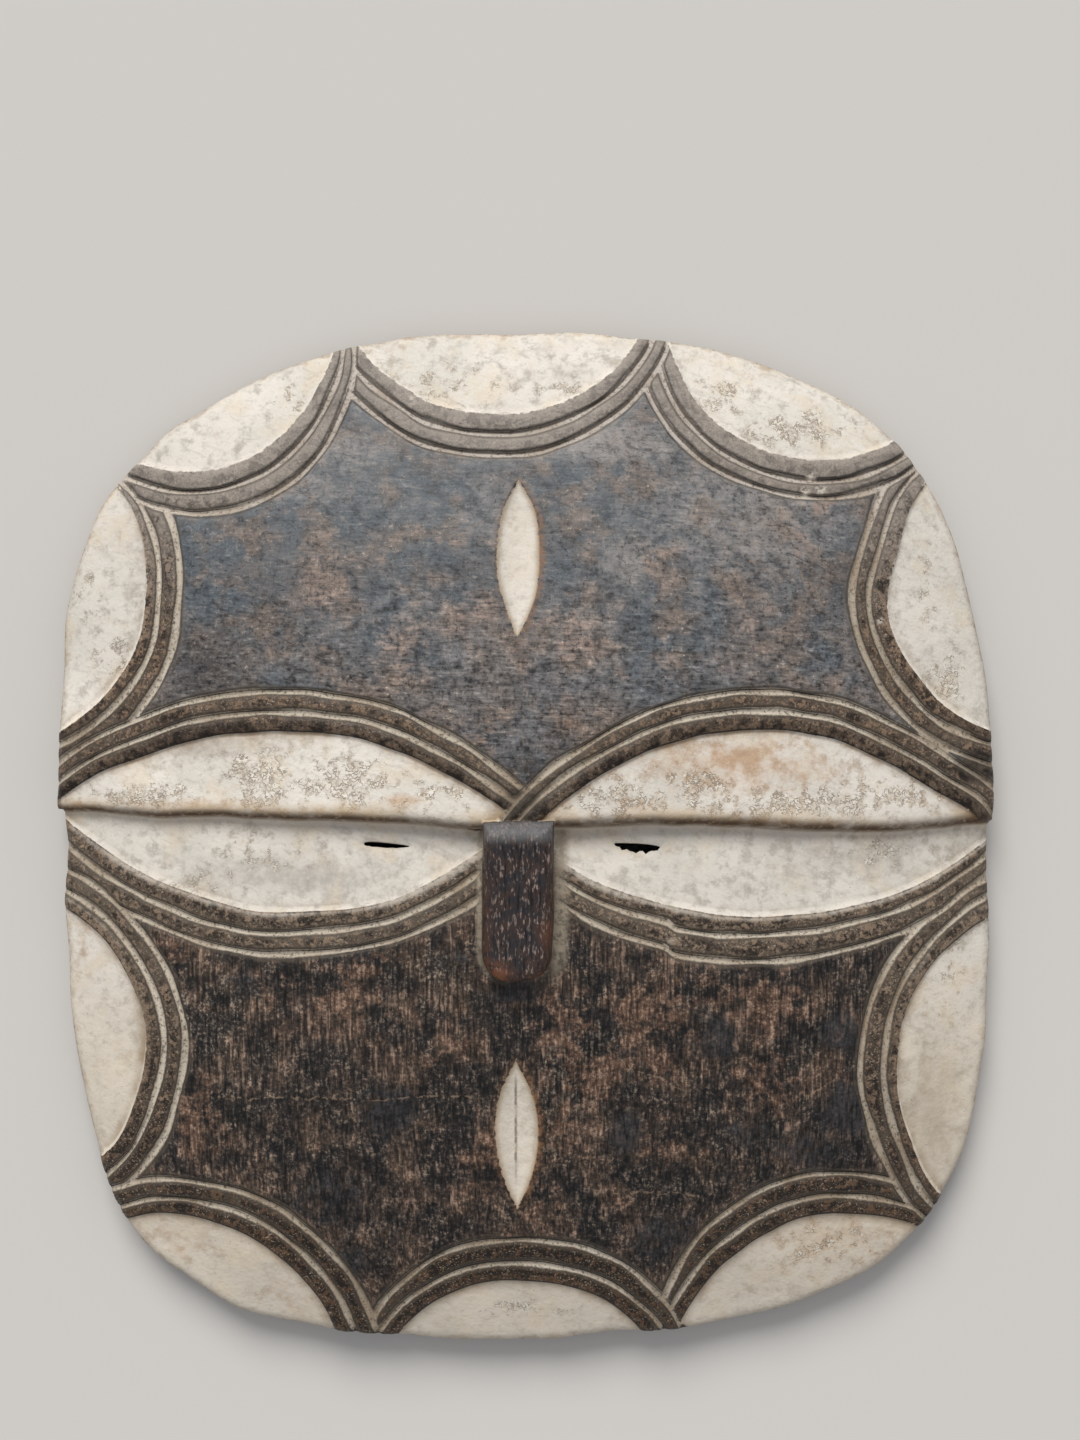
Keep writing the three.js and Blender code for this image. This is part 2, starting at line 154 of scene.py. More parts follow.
scallopParts = ("at", "radius", "turn", "inner", "outer", "bend", "jog")
scallops = {name: dict(zip(scallopParts, parts)) for name, *parts in (
    ("crown", (-9.5, 201), 57, (-145, -33), (5.5, 7, 5), (12, 14.5, 11), (0.2, 0.2, -0.6, 0.2, -1.1)),
    ("crownLeft", (-116, 174.5), 50, (-110, -7), (6, 7, 3.5), (11.5, 15, 7.5), (-1.4, -1.2, -0.2, -0.6, 0)),
    ("crownRight", (100, 180), 51.5, (-166, -58), (5.5, 7.5, 6.5), (12, 13.5, 12),
     (-0.4, 0.2, -0.4, -1.2, -0.1)),
    ("templeLeft", (-185, 86.5), 56.5, (36, -63), (2, 5, 4), (10, 12.5, 12.5), (0.2, -0.6, 0.5, -0.8, -0.3)),
    ("templeRight", (174.5, 85), 51, (141, 252), (5, 6.5, 4.5), (10.5, 12.5, 11.4),
     (0.5, -1.3, 0.7, -0.9, -0.9)),
    ("browLeft", (-86, -92.5), 129.5, (122, 53), (4.5, 6, 3.5), (10, 13, 8.5), (0.3, -0.8, 0.3, 1.5, 1.2)),
    ("browRight", (79, -69), 106.5, (133, 45), (5.5, 6, 5.1), (10, 12.5, 11.4),
     (-0.3, -0.25, -0.2, 0.1, 0.4, -0.4, -1.5, -1.8, 1.1)),
    ("underEyeLeft", (-80.5, 91.5), 115, (-129, -56), (7, 7.5, 5.5), (14.5, 14.5, 12.5),
     (1.6, -1, 0.9, 1.8, 0.3)),
    ("underEyeRight", (82.5, 111), 137.5, (-121, -56), (5.5, 6, 4.5), (11.5, 14.5, 9.5),
     (-0.3, -0.2, -0.4, -0.2, -0.7), (49, 0.8, 24)),
    ("cheekLeft", (-183, -71.5), 54, (63, -45), (4.5, 6, 6), (10.5, 13.5, 13),
     (-0.4, -1.1, 0.3, -1.1, -0.4)),
    ("cheekRight", (186.5, -81.5), 60, (116, 223), (6, 4.5, 4), (12, 12.5, 9.5), (-0.3, 1, 0.5, -1, -0.3)),
    ("jawLeft", (-123.5, -192.5), 63, (102, 19), (4, 6, 5.5), (11, 13.5, 13), (-0.4, 0.1, 1, 0.3, -0.8)),
    ("jawRight", (108.5, -185.5), 57.5, (166, 62), (5, 6, 5), (7.5, 14, 10.5), (0.5, -0.2, 0.1, -0.1, 1)),
    ("chin", (-1.5, -205.5), 54.5, (144, 40), (5.5, 6, 6), (10, 15, 12.5), (-0.6, 0.7, -0.2, 0.5, 0.5)),
)}
halfWidth = (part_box("mask")[1].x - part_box("mask")[0].x) / 2 / mm


def smoothStep(t):
    t = np.clip(t, 0, 1)
    return t * t * (3 - 2 * t)


def readAlong(points, place):  # smooth curve through a list of place and value
    places, values = np.array(points, float).T
    held = np.clip(place, places[0], places[-1])
    i = np.clip(np.searchsorted(places, held) - 1, 0, len(places) - 2)
    t = (held - places[i]) / (places[i + 1] - places[i])
    return values[i] + (values[i + 1] - values[i]) * smoothStep(t)


def waves(x, y, size, length, seed, count=14):  # even, unhurried unevenness
    draw = np.random.default_rng(seed)
    total = np.zeros(x.shape)
    for angle, phase, stretch in zip(draw.uniform(0, 2 * math.pi, count), draw.uniform(0, 2 * math.pi, count),
                                     draw.uniform(0.7, 1.4, count)):
        k = 2 * math.pi / (length * stretch)
        total += np.sin(k * (x * math.cos(angle) + y * math.sin(angle)) + phase)
    return total * size * math.sqrt(2 / count)


def uneven(kind, x, y, seed=0):
    layers = enumerate(carving[kind])
    return sum(waves(x, y, size, length, carving["seed"] + seed + i) for i, (size, length) in layers)


def spots(x, y, places):
    total = np.zeros(x.shape)
    for cx, cy, wide, high, strength in places:
        total = np.maximum(total, strength * np.exp(-((x - cx) / wide) ** 2 - ((y - cy) / high) ** 2))
    return total


# Shape of the board

def lipAt(x):
    return readAlong(carving["eyeLine"], x)


def spineY(y):  # point of the middle line that a place is measured from
    return np.clip(y, carving["lower"]["centreY"], carving["upper"]["centreY"])


def reachAt(x, y):  # 0 on the middle line, 1 on the outline
    direction = np.degrees(np.arctan2(y, x)) % 360
    pull = 1 - readAlong(carving["stray"], direction) / halfWidth
    x, y = x * pull, y * pull
    up, down = carving["upper"], carving["lower"]

    def corner(half):
        across = np.abs(x) / np.where(x < 0, half["left"], half["right"])
        along = np.abs(y - half["centreY"]) / half["reach"]
        return (across ** half["power"] + along ** half["power"]) ** (1 / half["power"])

    share = np.clip((y - down["centreY"]) / (up["centreY"] - down["centreY"]), 0, 1)
    left, right = (down[side] + (up[side] - down[side]) * share for side in ("left", "right"))
    side = np.abs(x) / np.where(x < 0, left, right)
    return np.where(y > up["centreY"], corner(up), np.where(y < down["centreY"], corner(down), side))


def edgeInAt(x, y):  # distance in from the outline
    return np.hypot(x, y - spineY(y)) * (1 / np.maximum(reachAt(x, y), 0.02) - 1)


def faceAt(x, y, upper):  # uncarved face of one half
    reach = np.minimum(reachAt(x, y), 1)
    dome = carving["rimHeight"] + carving["domeRise"] * (1 - reach ** carving["domePower"])
    centre, rim, fade = carving["lift" if upper else "scoop"]
    away = (y - lipAt(x)) if upper else (lipAt(x) - y)
    amount = (centre + (rim - centre) * reach) * smoothStep(1 - np.maximum(away, 0) / fade)
    return dome + amount if upper else dome - amount


# Scallops and their borders

def inOrder(upper):  # each scallop, with what is cut of it at that turn
    for entry in carving["orderUpper" if upper else "orderLower"]:
        name, *places = entry.split()
        yield scallops[name], places or ("edge", "inner", "outer")


def lineCircle(scallop, place):  # centre and radius of the circle that a cut follows
    middle, radius = complex(*scallop["at"]), scallop["radius"]
    if place == "edge":
        return middle.real, middle.imag, radius
    start, end = scallop["turn"]
    a, b, c = (middle + cmath.rect(radius + away, math.radians(angle))
               for angle, away in zip((start, (start + end) / 2, end), scallop[place]))
    skew = (c - a) / (b - a)
    centre = a + (b - a) * (skew - abs(skew) ** 2) / (2j * skew.imag)
    return centre.real, centre.imag, abs(a - centre)


def jogAt(scallop, place, x):  # where the carver's two strokes of a line didn't quite meet
    if place == "edge" or "jog" not in scallop:
        return 0
    at, size, fade = scallop["jog"]
    return size * np.tanh((x - at) / 1.2) * np.exp(-np.abs(x - at) / fade)


def bendAt(scallop, x, y):  # how far outwards the hand strayed from the circle
    start, end = scallop["turn"]
    turn = np.degrees(np.arctan2(y - scallop["at"][1], x - scallop["at"][0])) - (start + end) / 2
    along = ((turn + 180) % 360 - 180) / (end - start) + 0.5
    return readAlong(list(zip(np.linspace(0, 1, len(scallop["bend"])), scallop["bend"])), along)


def carvedFields(x, y, upper):
    ground = np.full(x.shape, -99.0)  # depth inside cut-back ground
    line = np.full(x.shape, 99.0)  # distance to the nearest cut line
    claimed = np.full(x.shape, -99.0)  # depth inside what earlier borders took
    for scallop, places in inOrder(upper):
        bend = bendAt(scallop, x, y)
        for place in places:
            cx, cy, radius = lineCircle(scallop, place)
            distance = np.hypot(x - cx, y - cy)
            if place == "edge":
                ground = np.maximum(ground, np.minimum(radius + bend - distance, -claimed))
            else:
                away = distance - radius - bend - jogAt(scallop, place, x)
                line = np.minimum(line, np.maximum(np.abs(away), claimed))
        claimed = np.maximum(claimed, -away)
    return ground, line, claimed


def lineVary(x, y):  # the knife cuts a little wider or narrower as it goes
    return 1 + waves(x, y, *carving["lineVary"], carving["seed"] + 90)


def carveHalf(x, y, upper):
    ground, line, border = carvedFields(x, y, upper)
    half = carving["lineWidth"] / 2
    line = line / lineVary(x, y)
    if not upper:
        left, right = carving["nose"]["clear"]
        clear = left + (right - left) * smoothStep((x + 3) / 6)
        line = line + half * smoothStep(1 + noseInside(x, y) / clear)
    cut = carving["groundDepth"] * smoothStep((ground + 0.1) / carving["groundWall"])
    groove = carving["lineDepth"] * np.clip(1 - (line / half) ** 2, 0, 1)
    depth, reach = carving["bandRound"]
    edge = np.clip(np.minimum(line - half, -ground), 0, None)
    soft = np.where(ground > 0.5, 0, depth * (1 - smoothStep(edge / reach)))
    z = faceAt(x, y, upper) - np.maximum(cut, np.maximum(groove, soft)) + uneven("swell", x, y)
    return z, ground, line, border


# Nose, leaf marks and eye slits

def noseInside(x, y):
    nose = carving["nose"]
    down = np.clip((nose["top"] - y) / (nose["top"] - nose["bottom"]), 0, 1)
    half = (nose["topWidth"] + (nose["bottomWidth"] - nose["topWidth"]) * down) / 2
    across, up, corner = half - np.abs(x - nose["x"]), y - nose["bottom"], nose["corner"]
    cutX, cutY = np.maximum(corner - across, 0), np.maximum(corner - up, 0)
    rounded = corner - np.hypot(cutX, cutY)
    return np.minimum(np.where((cutX > 0) & (cutY > 0), rounded, np.minimum(across, up)), nose["top"] - y)


def evenly(points, spacing):  # points at even distances along a path
    steps = np.hypot(*np.diff(points, axis=0).T)
    along = np.concatenate([[0], np.cumsum(steps)])
    places = np.linspace(0, along[-1], max(2, int(round(along[-1] / spacing))) + 1)
    return np.c_[np.interp(places, along, points[:, 0]), np.interp(places, along, points[:, 1])]


def noseOutline(spacing):
    nose = carving["nose"]
    corner, half = nose["corner"], nose["bottomWidth"] / 2
    points = [(-nose["topWidth"] / 2, nose["top"])]
    for turn in np.linspace(math.pi, 1.5 * math.pi, 13):
        across, up = corner * (1 + math.cos(turn)) - half, corner * (1 + math.sin(turn)) + nose["bottom"]
        points.append((across, up))
    points += [(-px, py) for px, py in reversed(points)]
    points.append(points[0])
    return evenly(np.array(points) + (nose["x"], 0), spacing)


def markHalfWidth(mark, y):
    t = (2 * y - mark["top"] - mark["bottom"]) / (mark["top"] - mark["bottom"])
    power = np.where(t > 0, mark["topPower"], mark["bottomPower"])
    return mark["width"] / 2 * (1 - np.minimum(np.abs(t), 1) ** power)


def markInside(mark, x, y):
    past = np.maximum(0, np.maximum(y - mark["top"], mark["bottom"] - y))
    return markHalfWidth(mark, y) - np.abs(x - mark["x"]) - past


def slitWidth(slit, along):  # along runs from -1 to 1
    first, last = slit["ends"]
    peak = (first ** first * last ** last) / ((first + last) / 2) ** (first + last)
    shape = np.clip(1 + along, 0, None) ** first * np.clip(1 - along, 0, None) ** last
    return slit["width"] * shape / peak


def slitRing(slit, grow, count=44):
    turn = np.linspace(0, 2 * math.pi, count, endpoint=False)
    bites = slit["ragged"] * (np.sin(turn * 11 + 1) + 0.8 * np.sin(turn * 17 + 2.2))
    share = np.where(np.sin(turn) < 0, (slit["above"] - 1) * (1 + bites), slit["above"])
    u = np.cos(turn) * (slit["length"] / 2 + grow)
    v = slitWidth(slit, np.cos(turn)) * share + np.sin(turn) * grow
    a = math.radians(slit["tilt"])
    return np.c_[slit["x"] + u * math.cos(a) - v * math.sin(a), slit["y"] + u * math.sin(a) + v * math.cos(a)]


def slitAway(x, y):  # distance outside the nearest eye slit
    nearest = np.full(x.shape, 99.0)
    for slit in carving["slits"]:
        a = math.radians(slit["tilt"])
        dx, dy = x - slit["x"], y - slit["y"]
        u, v = dx * math.cos(a) + dy * math.sin(a), dy * math.cos(a) - dx * math.sin(a)
        past = np.maximum(np.abs(u) - slit["length"] / 2, 0)
        thick = slitWidth(slit, np.clip(2 * u / slit["length"], -1, 1))
        over = np.maximum(v - thick * slit["above"], -v - thick * (1 - slit["above"]))
        nearest = np.minimum(nearest, np.hypot(past, np.maximum(over, 0)))
    return nearest


# Height of the finished front, and what each place on it is

def rounded(radius, inside):  # drop of a rounded edge, by the distance inside it
    near = np.clip(radius - inside, 0, radius)
    return radius - np.sqrt(np.clip(radius ** 2 - near ** 2, 0, None))


def frontAt(x, y):
    step = y - lipAt(x)
    upper, lower = carveHalf(x, np.maximum(y, lipAt(x)), True), carveHalf(x, np.minimum(y, lipAt(x)), False)
    lean = carving["lipLean"]
    onUpper = upper[0] - rounded(carving["lipRound"], step) * 0.8
    onLower = lower[0] + rounded(carving["lipFillet"], -step - lean) * 0.8
    z = onLower + (onUpper - onLower) * np.clip((step + lean) / lean, 0, 1)
    isUpper = step >= -lean / 2
    ground, line, border = (np.where(isUpper, a, b) for a, b in zip(upper[1:], lower[1:]))

    edgeIn = edgeInAt(x, y)
    z = z - rounded(carving["rimRound"], edgeIn)

    marked = np.full(x.shape, -99.0)
    for mark in carving["marks"]:
        inside = markInside(mark, x, y)
        half = np.maximum(markHalfWidth(mark, y), 0.01)
        across = np.clip(np.abs(x - mark["x"]) / half, 0, 1)
        deep = mark["depth"] * (half / mark["width"] * 2) ** 0.7 * (1 - across ** mark["hollow"])
        z = z - np.where(inside > 0, deep, 0)
        marked = np.maximum(marked, inside)

    chipped = np.zeros(x.shape)
    for cx, cy, radius, depth in carving["chips"]:
        chip = smoothStep(1.2 - np.hypot(x - cx, y - cy) / radius)
        z = z - depth * chip
        chipped = np.maximum(chipped, chip)
    for cx, cy, wide, high, thick in carving["drips"]:
        z = z + thick * smoothStep(1.3 - np.hypot((x - cx) / wide, (y - cy) / high))
    sunk, around = carving["slitRim"]
    z = z - sunk * (1 - smoothStep(slitAway(x, y) / around))

    nose = carving["nose"]
    inNose = noseInside(x, y)
    sideWidth, sideDepth = nose["sideBevel"]
    topWidth, topDepth = nose["topBevel"]
    sideDrop = sideDepth * 2 * (1 - smoothStep(0.5 + inNose / sideWidth / 2))
    topDrop = topDepth * (1 - np.clip((nose["top"] - y) / topWidth, 0, 1)) ** 1.4
    front = nose["front"] - np.maximum(sideDrop, topDrop) + uneven("swell", x, y, 7) * 0.8
    wall = np.clip((inNose + 0.3) / nose["wall"], 0, 1)
    z = np.where(inNose > -0.3, z + (np.maximum(front, z) - z) * wall, z)
    return z, {"ground": ground, "cutLine": line, "border": border, "mark": marked, "nose": inNose,
               "step": step, "edgeIn": edgeIn, "chip": chipped}


# Plan of the front: rows of points along every cut, then an even fill between them

rowsAcross = {
    "line": (-2, -1.3, -0.65, 0, 0.65, 1.3, 2),  # these widen and narrow with the line
    "edge": (-2.2, -0.9, -0.1, 0.45, 1.05, 2.1),
    "lip": (6.2, 4.6, 3.3, 2.2, 1.3, 0.6, 0.15, -0.2, -0.45, -0.75, -1.4, -2.4, -3.8),
    "nose": (-3, -1.6, -0.75, -0.3, 0, 0.3, 0.6, 1.2, 2.1, 3.2, 4.4),
    "mark": (-1.6, -0.6, 0, 0.8, 2),
    "rim": (0.35, 0.95, 1.8, 2.9, 4.2),
    "slit": (0.5, 1.1, 1.9),
}


def outlineRing(spacing):
    turn = np.linspace(0, 2 * math.pi, 3600, endpoint=False)
    near, far = np.full(turn.shape, 100.0), np.full(turn.shape, 230.0)
    for _ in range(30):
        middle = (near + far) / 2
        inside = reachAt(middle * np.cos(turn), middle * np.sin(turn)) < 1
        near, far = np.where(inside, middle, near), np.where(inside, far, middle)
    x, y = near * np.cos(turn), near * np.sin(turn)
    step = y - lipAt(x)
    flare = np.where(step >= 0, smoothStep(1 - step / carving["flare"]), 0)
    x = x + np.sign(x) * flare * np.maximum(halfWidth - np.abs(x), 0)
    ring = np.c_[x, y]
    return evenly(np.vstack([ring, ring[:1]]), spacing)[:-1]


def insetRing(ring, inset):
    towards = np.c_[np.zeros(len(ring)), spineY(ring[:, 1])] - ring
    return ring + towards / np.hypot(*towards.T)[:, None] * inset


def scallopRows(upper):
    rows = []
    for scallop, place in ((scallop, place) for scallop, places in inOrder(upper) for place in places):
        cx, cy, radius = lineCircle(scallop, place)
        start, end = (math.radians(a) for a in scallop["turn"])
        run = math.copysign(carving["lineRunOut"] / radius, end - start)
        start, end = start - run, end + run
        count = int(abs(end - start) * radius / carving["rowSpacing"])
        turn = np.linspace(start, end, count)
        for offset in rowsAcross["edge" if place == "edge" else "line"]:
            x, y = cx + radius * np.cos(turn), cy + radius * np.sin(turn)
            offset = np.full(count, float(offset)) if place == "edge" else offset * lineVary(x, y)
            away = radius + bendAt(scallop, x, y) + jogAt(scallop, place, x) - offset
            x, y = cx + away * np.cos(turn), cy + away * np.sin(turn)
            ground, line, _ = carvedFields(x, y, upper)
            shown = np.abs(ground - offset if place == "edge" else line - np.abs(offset)) < 0.06
            step = y - lipAt(x)
            rows.append(np.c_[x, y][shown & ((step > 0.4) if upper else (step < -1))])
    return rows


def shapeRows(ring):
    spacing, rows = carving["rowSpacing"], []
    for slit in carving["slits"]:
        rows += [slitRing(slit, grow) for grow in rowsAcross["slit"]]
    outline = noseOutline(spacing)
    ahead = np.roll(outline, -1, axis=0) - np.roll(outline, 1, axis=0)
    inwards = np.c_[-ahead[:, 1], ahead[:, 0]] / np.hypot(*ahead.T)[:, None]
    for offset in rowsAcross["nose"]:
        row = outline + inwards * offset
        rows.append(row[np.abs(noseInside(*row.T) - offset) < 0.3])
    x = np.arange(-halfWidth, halfWidth, spacing)
    for offset in rowsAcross["lip"]:
        row = np.c_[x, lipAt(x) + offset]
        rows.append(row[noseInside(*row.T) < -0.4])
    for mark in carving["marks"]:
        y = np.arange(mark["bottom"], mark["top"], 0.9)
        for offset in rowsAcross["mark"]:
            half = markHalfWidth(mark, y) - offset
            rows += [np.c_[mark["x"] + side * half, y][half > 0] for side in (-1, 1)]
        rows.append(np.c_[np.full(len(y), mark["x"]), y])
    rows += scallopRows(True) + scallopRows(False)
    return rows + [insetRing(ring, inset) for inset in rowsAcross["rim"]]


def evenFill(gap, seed):
    across, up = np.arange(-170, 170, gap), np.arange(-180, 180, gap * 0.866)
    fillX, fillY = np.meshgrid(across, up)
    fillX = fillX + (np.arange(len(up)) % 2)[:, None] * gap / 2
    fill = np.c_[fillX.ravel(), fillY.ravel()]
    return fill + np.random.default_rng(seed).uniform(-0.18, 0.18, fill.shape) * gap


def frontPlan(ring):
    kept = [tuple(p) for p in ring]
    for slit in carving["slits"]:
        kept += [tuple(p) for p in slitRing(slit, 0)]
    cell = 0.36
    taken = {(math.floor(px / cell), math.floor(py / cell)) for px, py in kept}
    groups = [(row, 0) for row in shapeRows(ring)] + [(evenFill(carving["fillSpacing"], 3), 2)]
    for group, clear in groups:
        free = (edgeInAt(*group.T) > 0.25) & (slitAway(*group.T) > 0.3)
        group = group[free]
        around = range(-clear, clear + 1)
        for px, py in group.tolist():
            cx, cy = math.floor(px / cell), math.floor(py / cell)
            if not any((cx + i, cy + j) in taken for i in around for j in around):
                kept.append((px, py))
                taken.add((cx, cy))
    return np.array(kept)


def insideRing(ring):
    turn, reach = np.arctan2(ring[:, 1], ring[:, 0]), np.hypot(*ring.T)
    order = np.argsort(turn)

    def test(x, y):
        edge = np.interp(np.arctan2(y, x), turn[order], reach[order], period=2 * math.pi)
        inside = np.hypot(x, y) < edge + 1e-6
        for slit in carving["slits"]:
            hole, crossed = slitRing(slit, 0), np.zeros(x.shape, bool)
            for (x0, y0), (x1, y1) in zip(hole, np.roll(hole, -1, axis=0)):
                crossed ^= ((y0 > y) != (y1 > y)) & (x < (x1 - x0) * (y - y0) / (y1 - y0 + 1e-12) + x0)
            inside &= ~crossed
        return inside
    return test


def triangulate(points, keep):
    _, _, faces, origin, _, _ = delaunay_2d_cdt([Vector(p) for p in points], [], [], 0, 1e-7)
    source = np.array([o[0] for o in origin])
    faces = source[np.array(faces)]
    middle = points[faces].mean(axis=1)
    return faces[keep(middle[:, 0], middle[:, 1])]


# Back: a gouged hollow inside a flat rim

def gougeCuts(x, y):
    wide, long, deep = carving["gouge"]
    shift = np.random.default_rng(carving["seed"]).uniform(-0.3, 0.3, (64, 64, 2))
    i, j = np.floor(x / wide).astype(int), np.floor(y / long).astype(int)
    low = np.full(x.shape, 9.0)
    for di in (-1, 0, 1):
        for dj in (-1, 0, 1):
            ci, cj = i + di, j + dj
            moved = shift[ci % 64, cj % 64]
            u = x / wide - ci - 0.5 - moved[..., 0] * 0.5
            v = y / long - cj - 0.5 - moved[..., 1] - 0.5 * (ci % 2)
            low = np.minimum(low, u * u * 3 + v * v * 1.6)
    return deep * (np.minimum(low, 1) - 0.5)


def backAt(x, y):
    share = np.minimum(reachAt(x, y) / carving["hollowReach"], 1)
    hollow = carving["hollowDepth"] * (1 - share ** carving["hollowPower"])
    return np.maximum(hollow + smoothStep(hollow / 3) * (gougeCuts(x, y) + uneven("swell", x, y, 20)), 0)


def buildMask():
    ring = outlineRing(carving["ringSpacing"])
    n, holes = len(ring), carving["slits"]
    size = len(slitRing(holes[0], 0))
    front = frontPlan(ring)
    z, fields = frontAt(*front.T)
    below, above = (frontAt(*(front + (0, nudge)).T)[0] for nudge in (-0.25, 0.25))
    fields["slope"] = np.clip((below - above) / 0.5, -2, 2)  # above 0 where it faces up the mask
    faces = [triangulate(front, insideRing(ring))]
    layers = [np.c_[front, z]]
    shown = [np.ones(len(front))]

    def addLayer(points, heights, front=0.0):
        first = sum(len(layer) for layer in layers)
        layers.append(np.c_[points, heights])
        shown.append(np.full(len(points), front))
        return first

    def bridge(first, second, count):
        i = np.arange(count)
        j = (i + 1) % count
        faces.append(np.c_[first + i, second + i, second + j])
        faces.append(np.c_[first + i, second + j, first + j])

    last = 0
    for share, inset, height, seen in (  # down the side wall and round its lower edge
            (0.9, -0.05, 0, 1), (0.6, -0.15, 0, 0.5), (0.3, -0.1, 0, 0), (0, 0, 2.4, 0), (0, 0.7, 0.8, 0)):
        first = addLayer(insetRing(ring, inset), z[:n] * share + height, seen)
        bridge(last, first, n)
        last = first

    inner = insetRing(ring, 2.4)
    fill = evenFill(carving["backSpacing"], 5)
    fill = fill[(edgeInAt(*fill.T) > 4.4) & (slitAway(*fill.T) > 1.4)]
    back = np.vstack([inner] + [slitRing(slit, 0.4) for slit in holes] + [fill])
    backZ = backAt(*back.T)
    backZ[:n] = 0
    backFaces = triangulate(back, insideRing(inner))
    first = addLayer(back, backZ)
    bridge(last, first, n)
    faces.append(backFaces[:, ::-1] + first)
    for i in range(len(holes)):  # the walls of the slits
        start = n + i * size
        top, low = layers[0][start:start + size], np.c_[back, backZ][start:start + size]
        last = start
        for share in (0.08, 0.35, 0.7):
            wall = top + (low - top) * share
            mid = addLayer(wall[:, :2], wall[:, 2], 0.5 if share < 0.1 else 0)
            bridge(mid, last, size)
            last = mid
        bridge(first + start, last, size)

    points = np.vstack(layers)
    x, y = points[:, 0].copy(), points[:, 1].copy()
    points[:, 0] += uneven("wander", x, y, 40)
    points[:, 1] += uneven("wander", x, y, 60)
    mesh = bpy.data.meshes.new("mask")
    mesh.from_pydata((points * mm).tolist(), [], np.vstack(faces).tolist())
    mesh.shade_smooth()

    fields = {name: np.resize(values, len(points)) for name, values in fields.items()}
    past = np.arange(len(points)) >= len(front)
    afar = {"ground": -8, "cutLine": 8, "border": -8, "mark": -8, "nose": -12, "step": 40}
    for name in fields:
        fields[name][past] = afar.get(name, 0)
    onWall = slice(len(front), len(front) + 2 * n)
    for name in ("ground", "border"):
        fields[name][onWall] = np.resize(fields[name][:n], 2 * n)
    fields["shown"] = np.concatenate(shown)
    for name, places in wornAndShadedPlaces.items():
        fields[name] = spots(x, y, places)
    for name, values in fields.items():
        layer = mesh.attributes.new(name, "FLOAT", "POINT")
        layer.data.foreach_set("value", np.clip(values, -200, 200).astype(np.float32))

    piece = bpy.data.objects.new("carvedMask", mesh)
    bpy.context.scene.collection.objects.link(piece)
    print("mask mesh:", len(points), "points,", len(mesh.polygons), "triangles")
    return piece


# The look of the mask: colours as seen on screen, then its worn and dirty places and some painted shade

hues = {
    "kaolinWarm": (229, 222, 211), "kaolinCool": (219, 213, 202), "kaolinTan": (221, 204, 178),
    "kaolinGrey": (180, 174, 164), "kaolinStain": (186, 142, 98), "flakeEdge": (128, 110, 92),
    "lineFresh": (216, 206, 190), "creaseShade": (17, 13, 12), "bandDark": (30, 23, 18),
    "polishBlue": (89, 96, 102), "polishBrown": (110, 104, 101), "polishRust": (148, 129, 118),
    "grainedBlack": (43, 40, 39), "grainedBrown": (68, 55, 46), "ashWood": (92, 90, 82),
    "sootWood": (45, 45, 47), "dust": (154, 135, 117), "rustWood": (89, 67, 54), "rustLight": (124, 103, 88),
    "lipTan": (206, 174, 128), "lipEdge": (74, 52, 36), "markRust": (136, 100, 70),
    "noseDust": (158, 146, 128), "noseWood": (44, 42, 45), "noseBrown": (64, 50, 44),
    "noseWear": (84, 60, 48), "noseOrange": (160, 100, 66), "rawDark": (52, 38, 28), "rawLight": (92, 70, 52),
}
upTheMask = {  # height up the mask and the colour there
    # the bands, and their worn patches, turn light grey towards the top: a painted sheen
    "band": [(-150, (46, 36, 27)), (-95, (60, 49, 40)), (-35, (93, 80, 68)), (60, (87, 72, 60)),
             (135, (143, 134, 125))],
    "bandWornAndSheen": [(-150, (98, 74, 54)), (-35, (142, 122, 102)), (60, (140, 116, 94)), (135, (160, 150, 140))],
    "linePigment": [(70, (188, 177, 160)), (140, (200, 191, 181))],
    "lineTan": [(70, (160, 144, 124)), (140, (180, 168, 155))],
    "rust": [(30, "rustLight"), (76, "polishRust")],
}
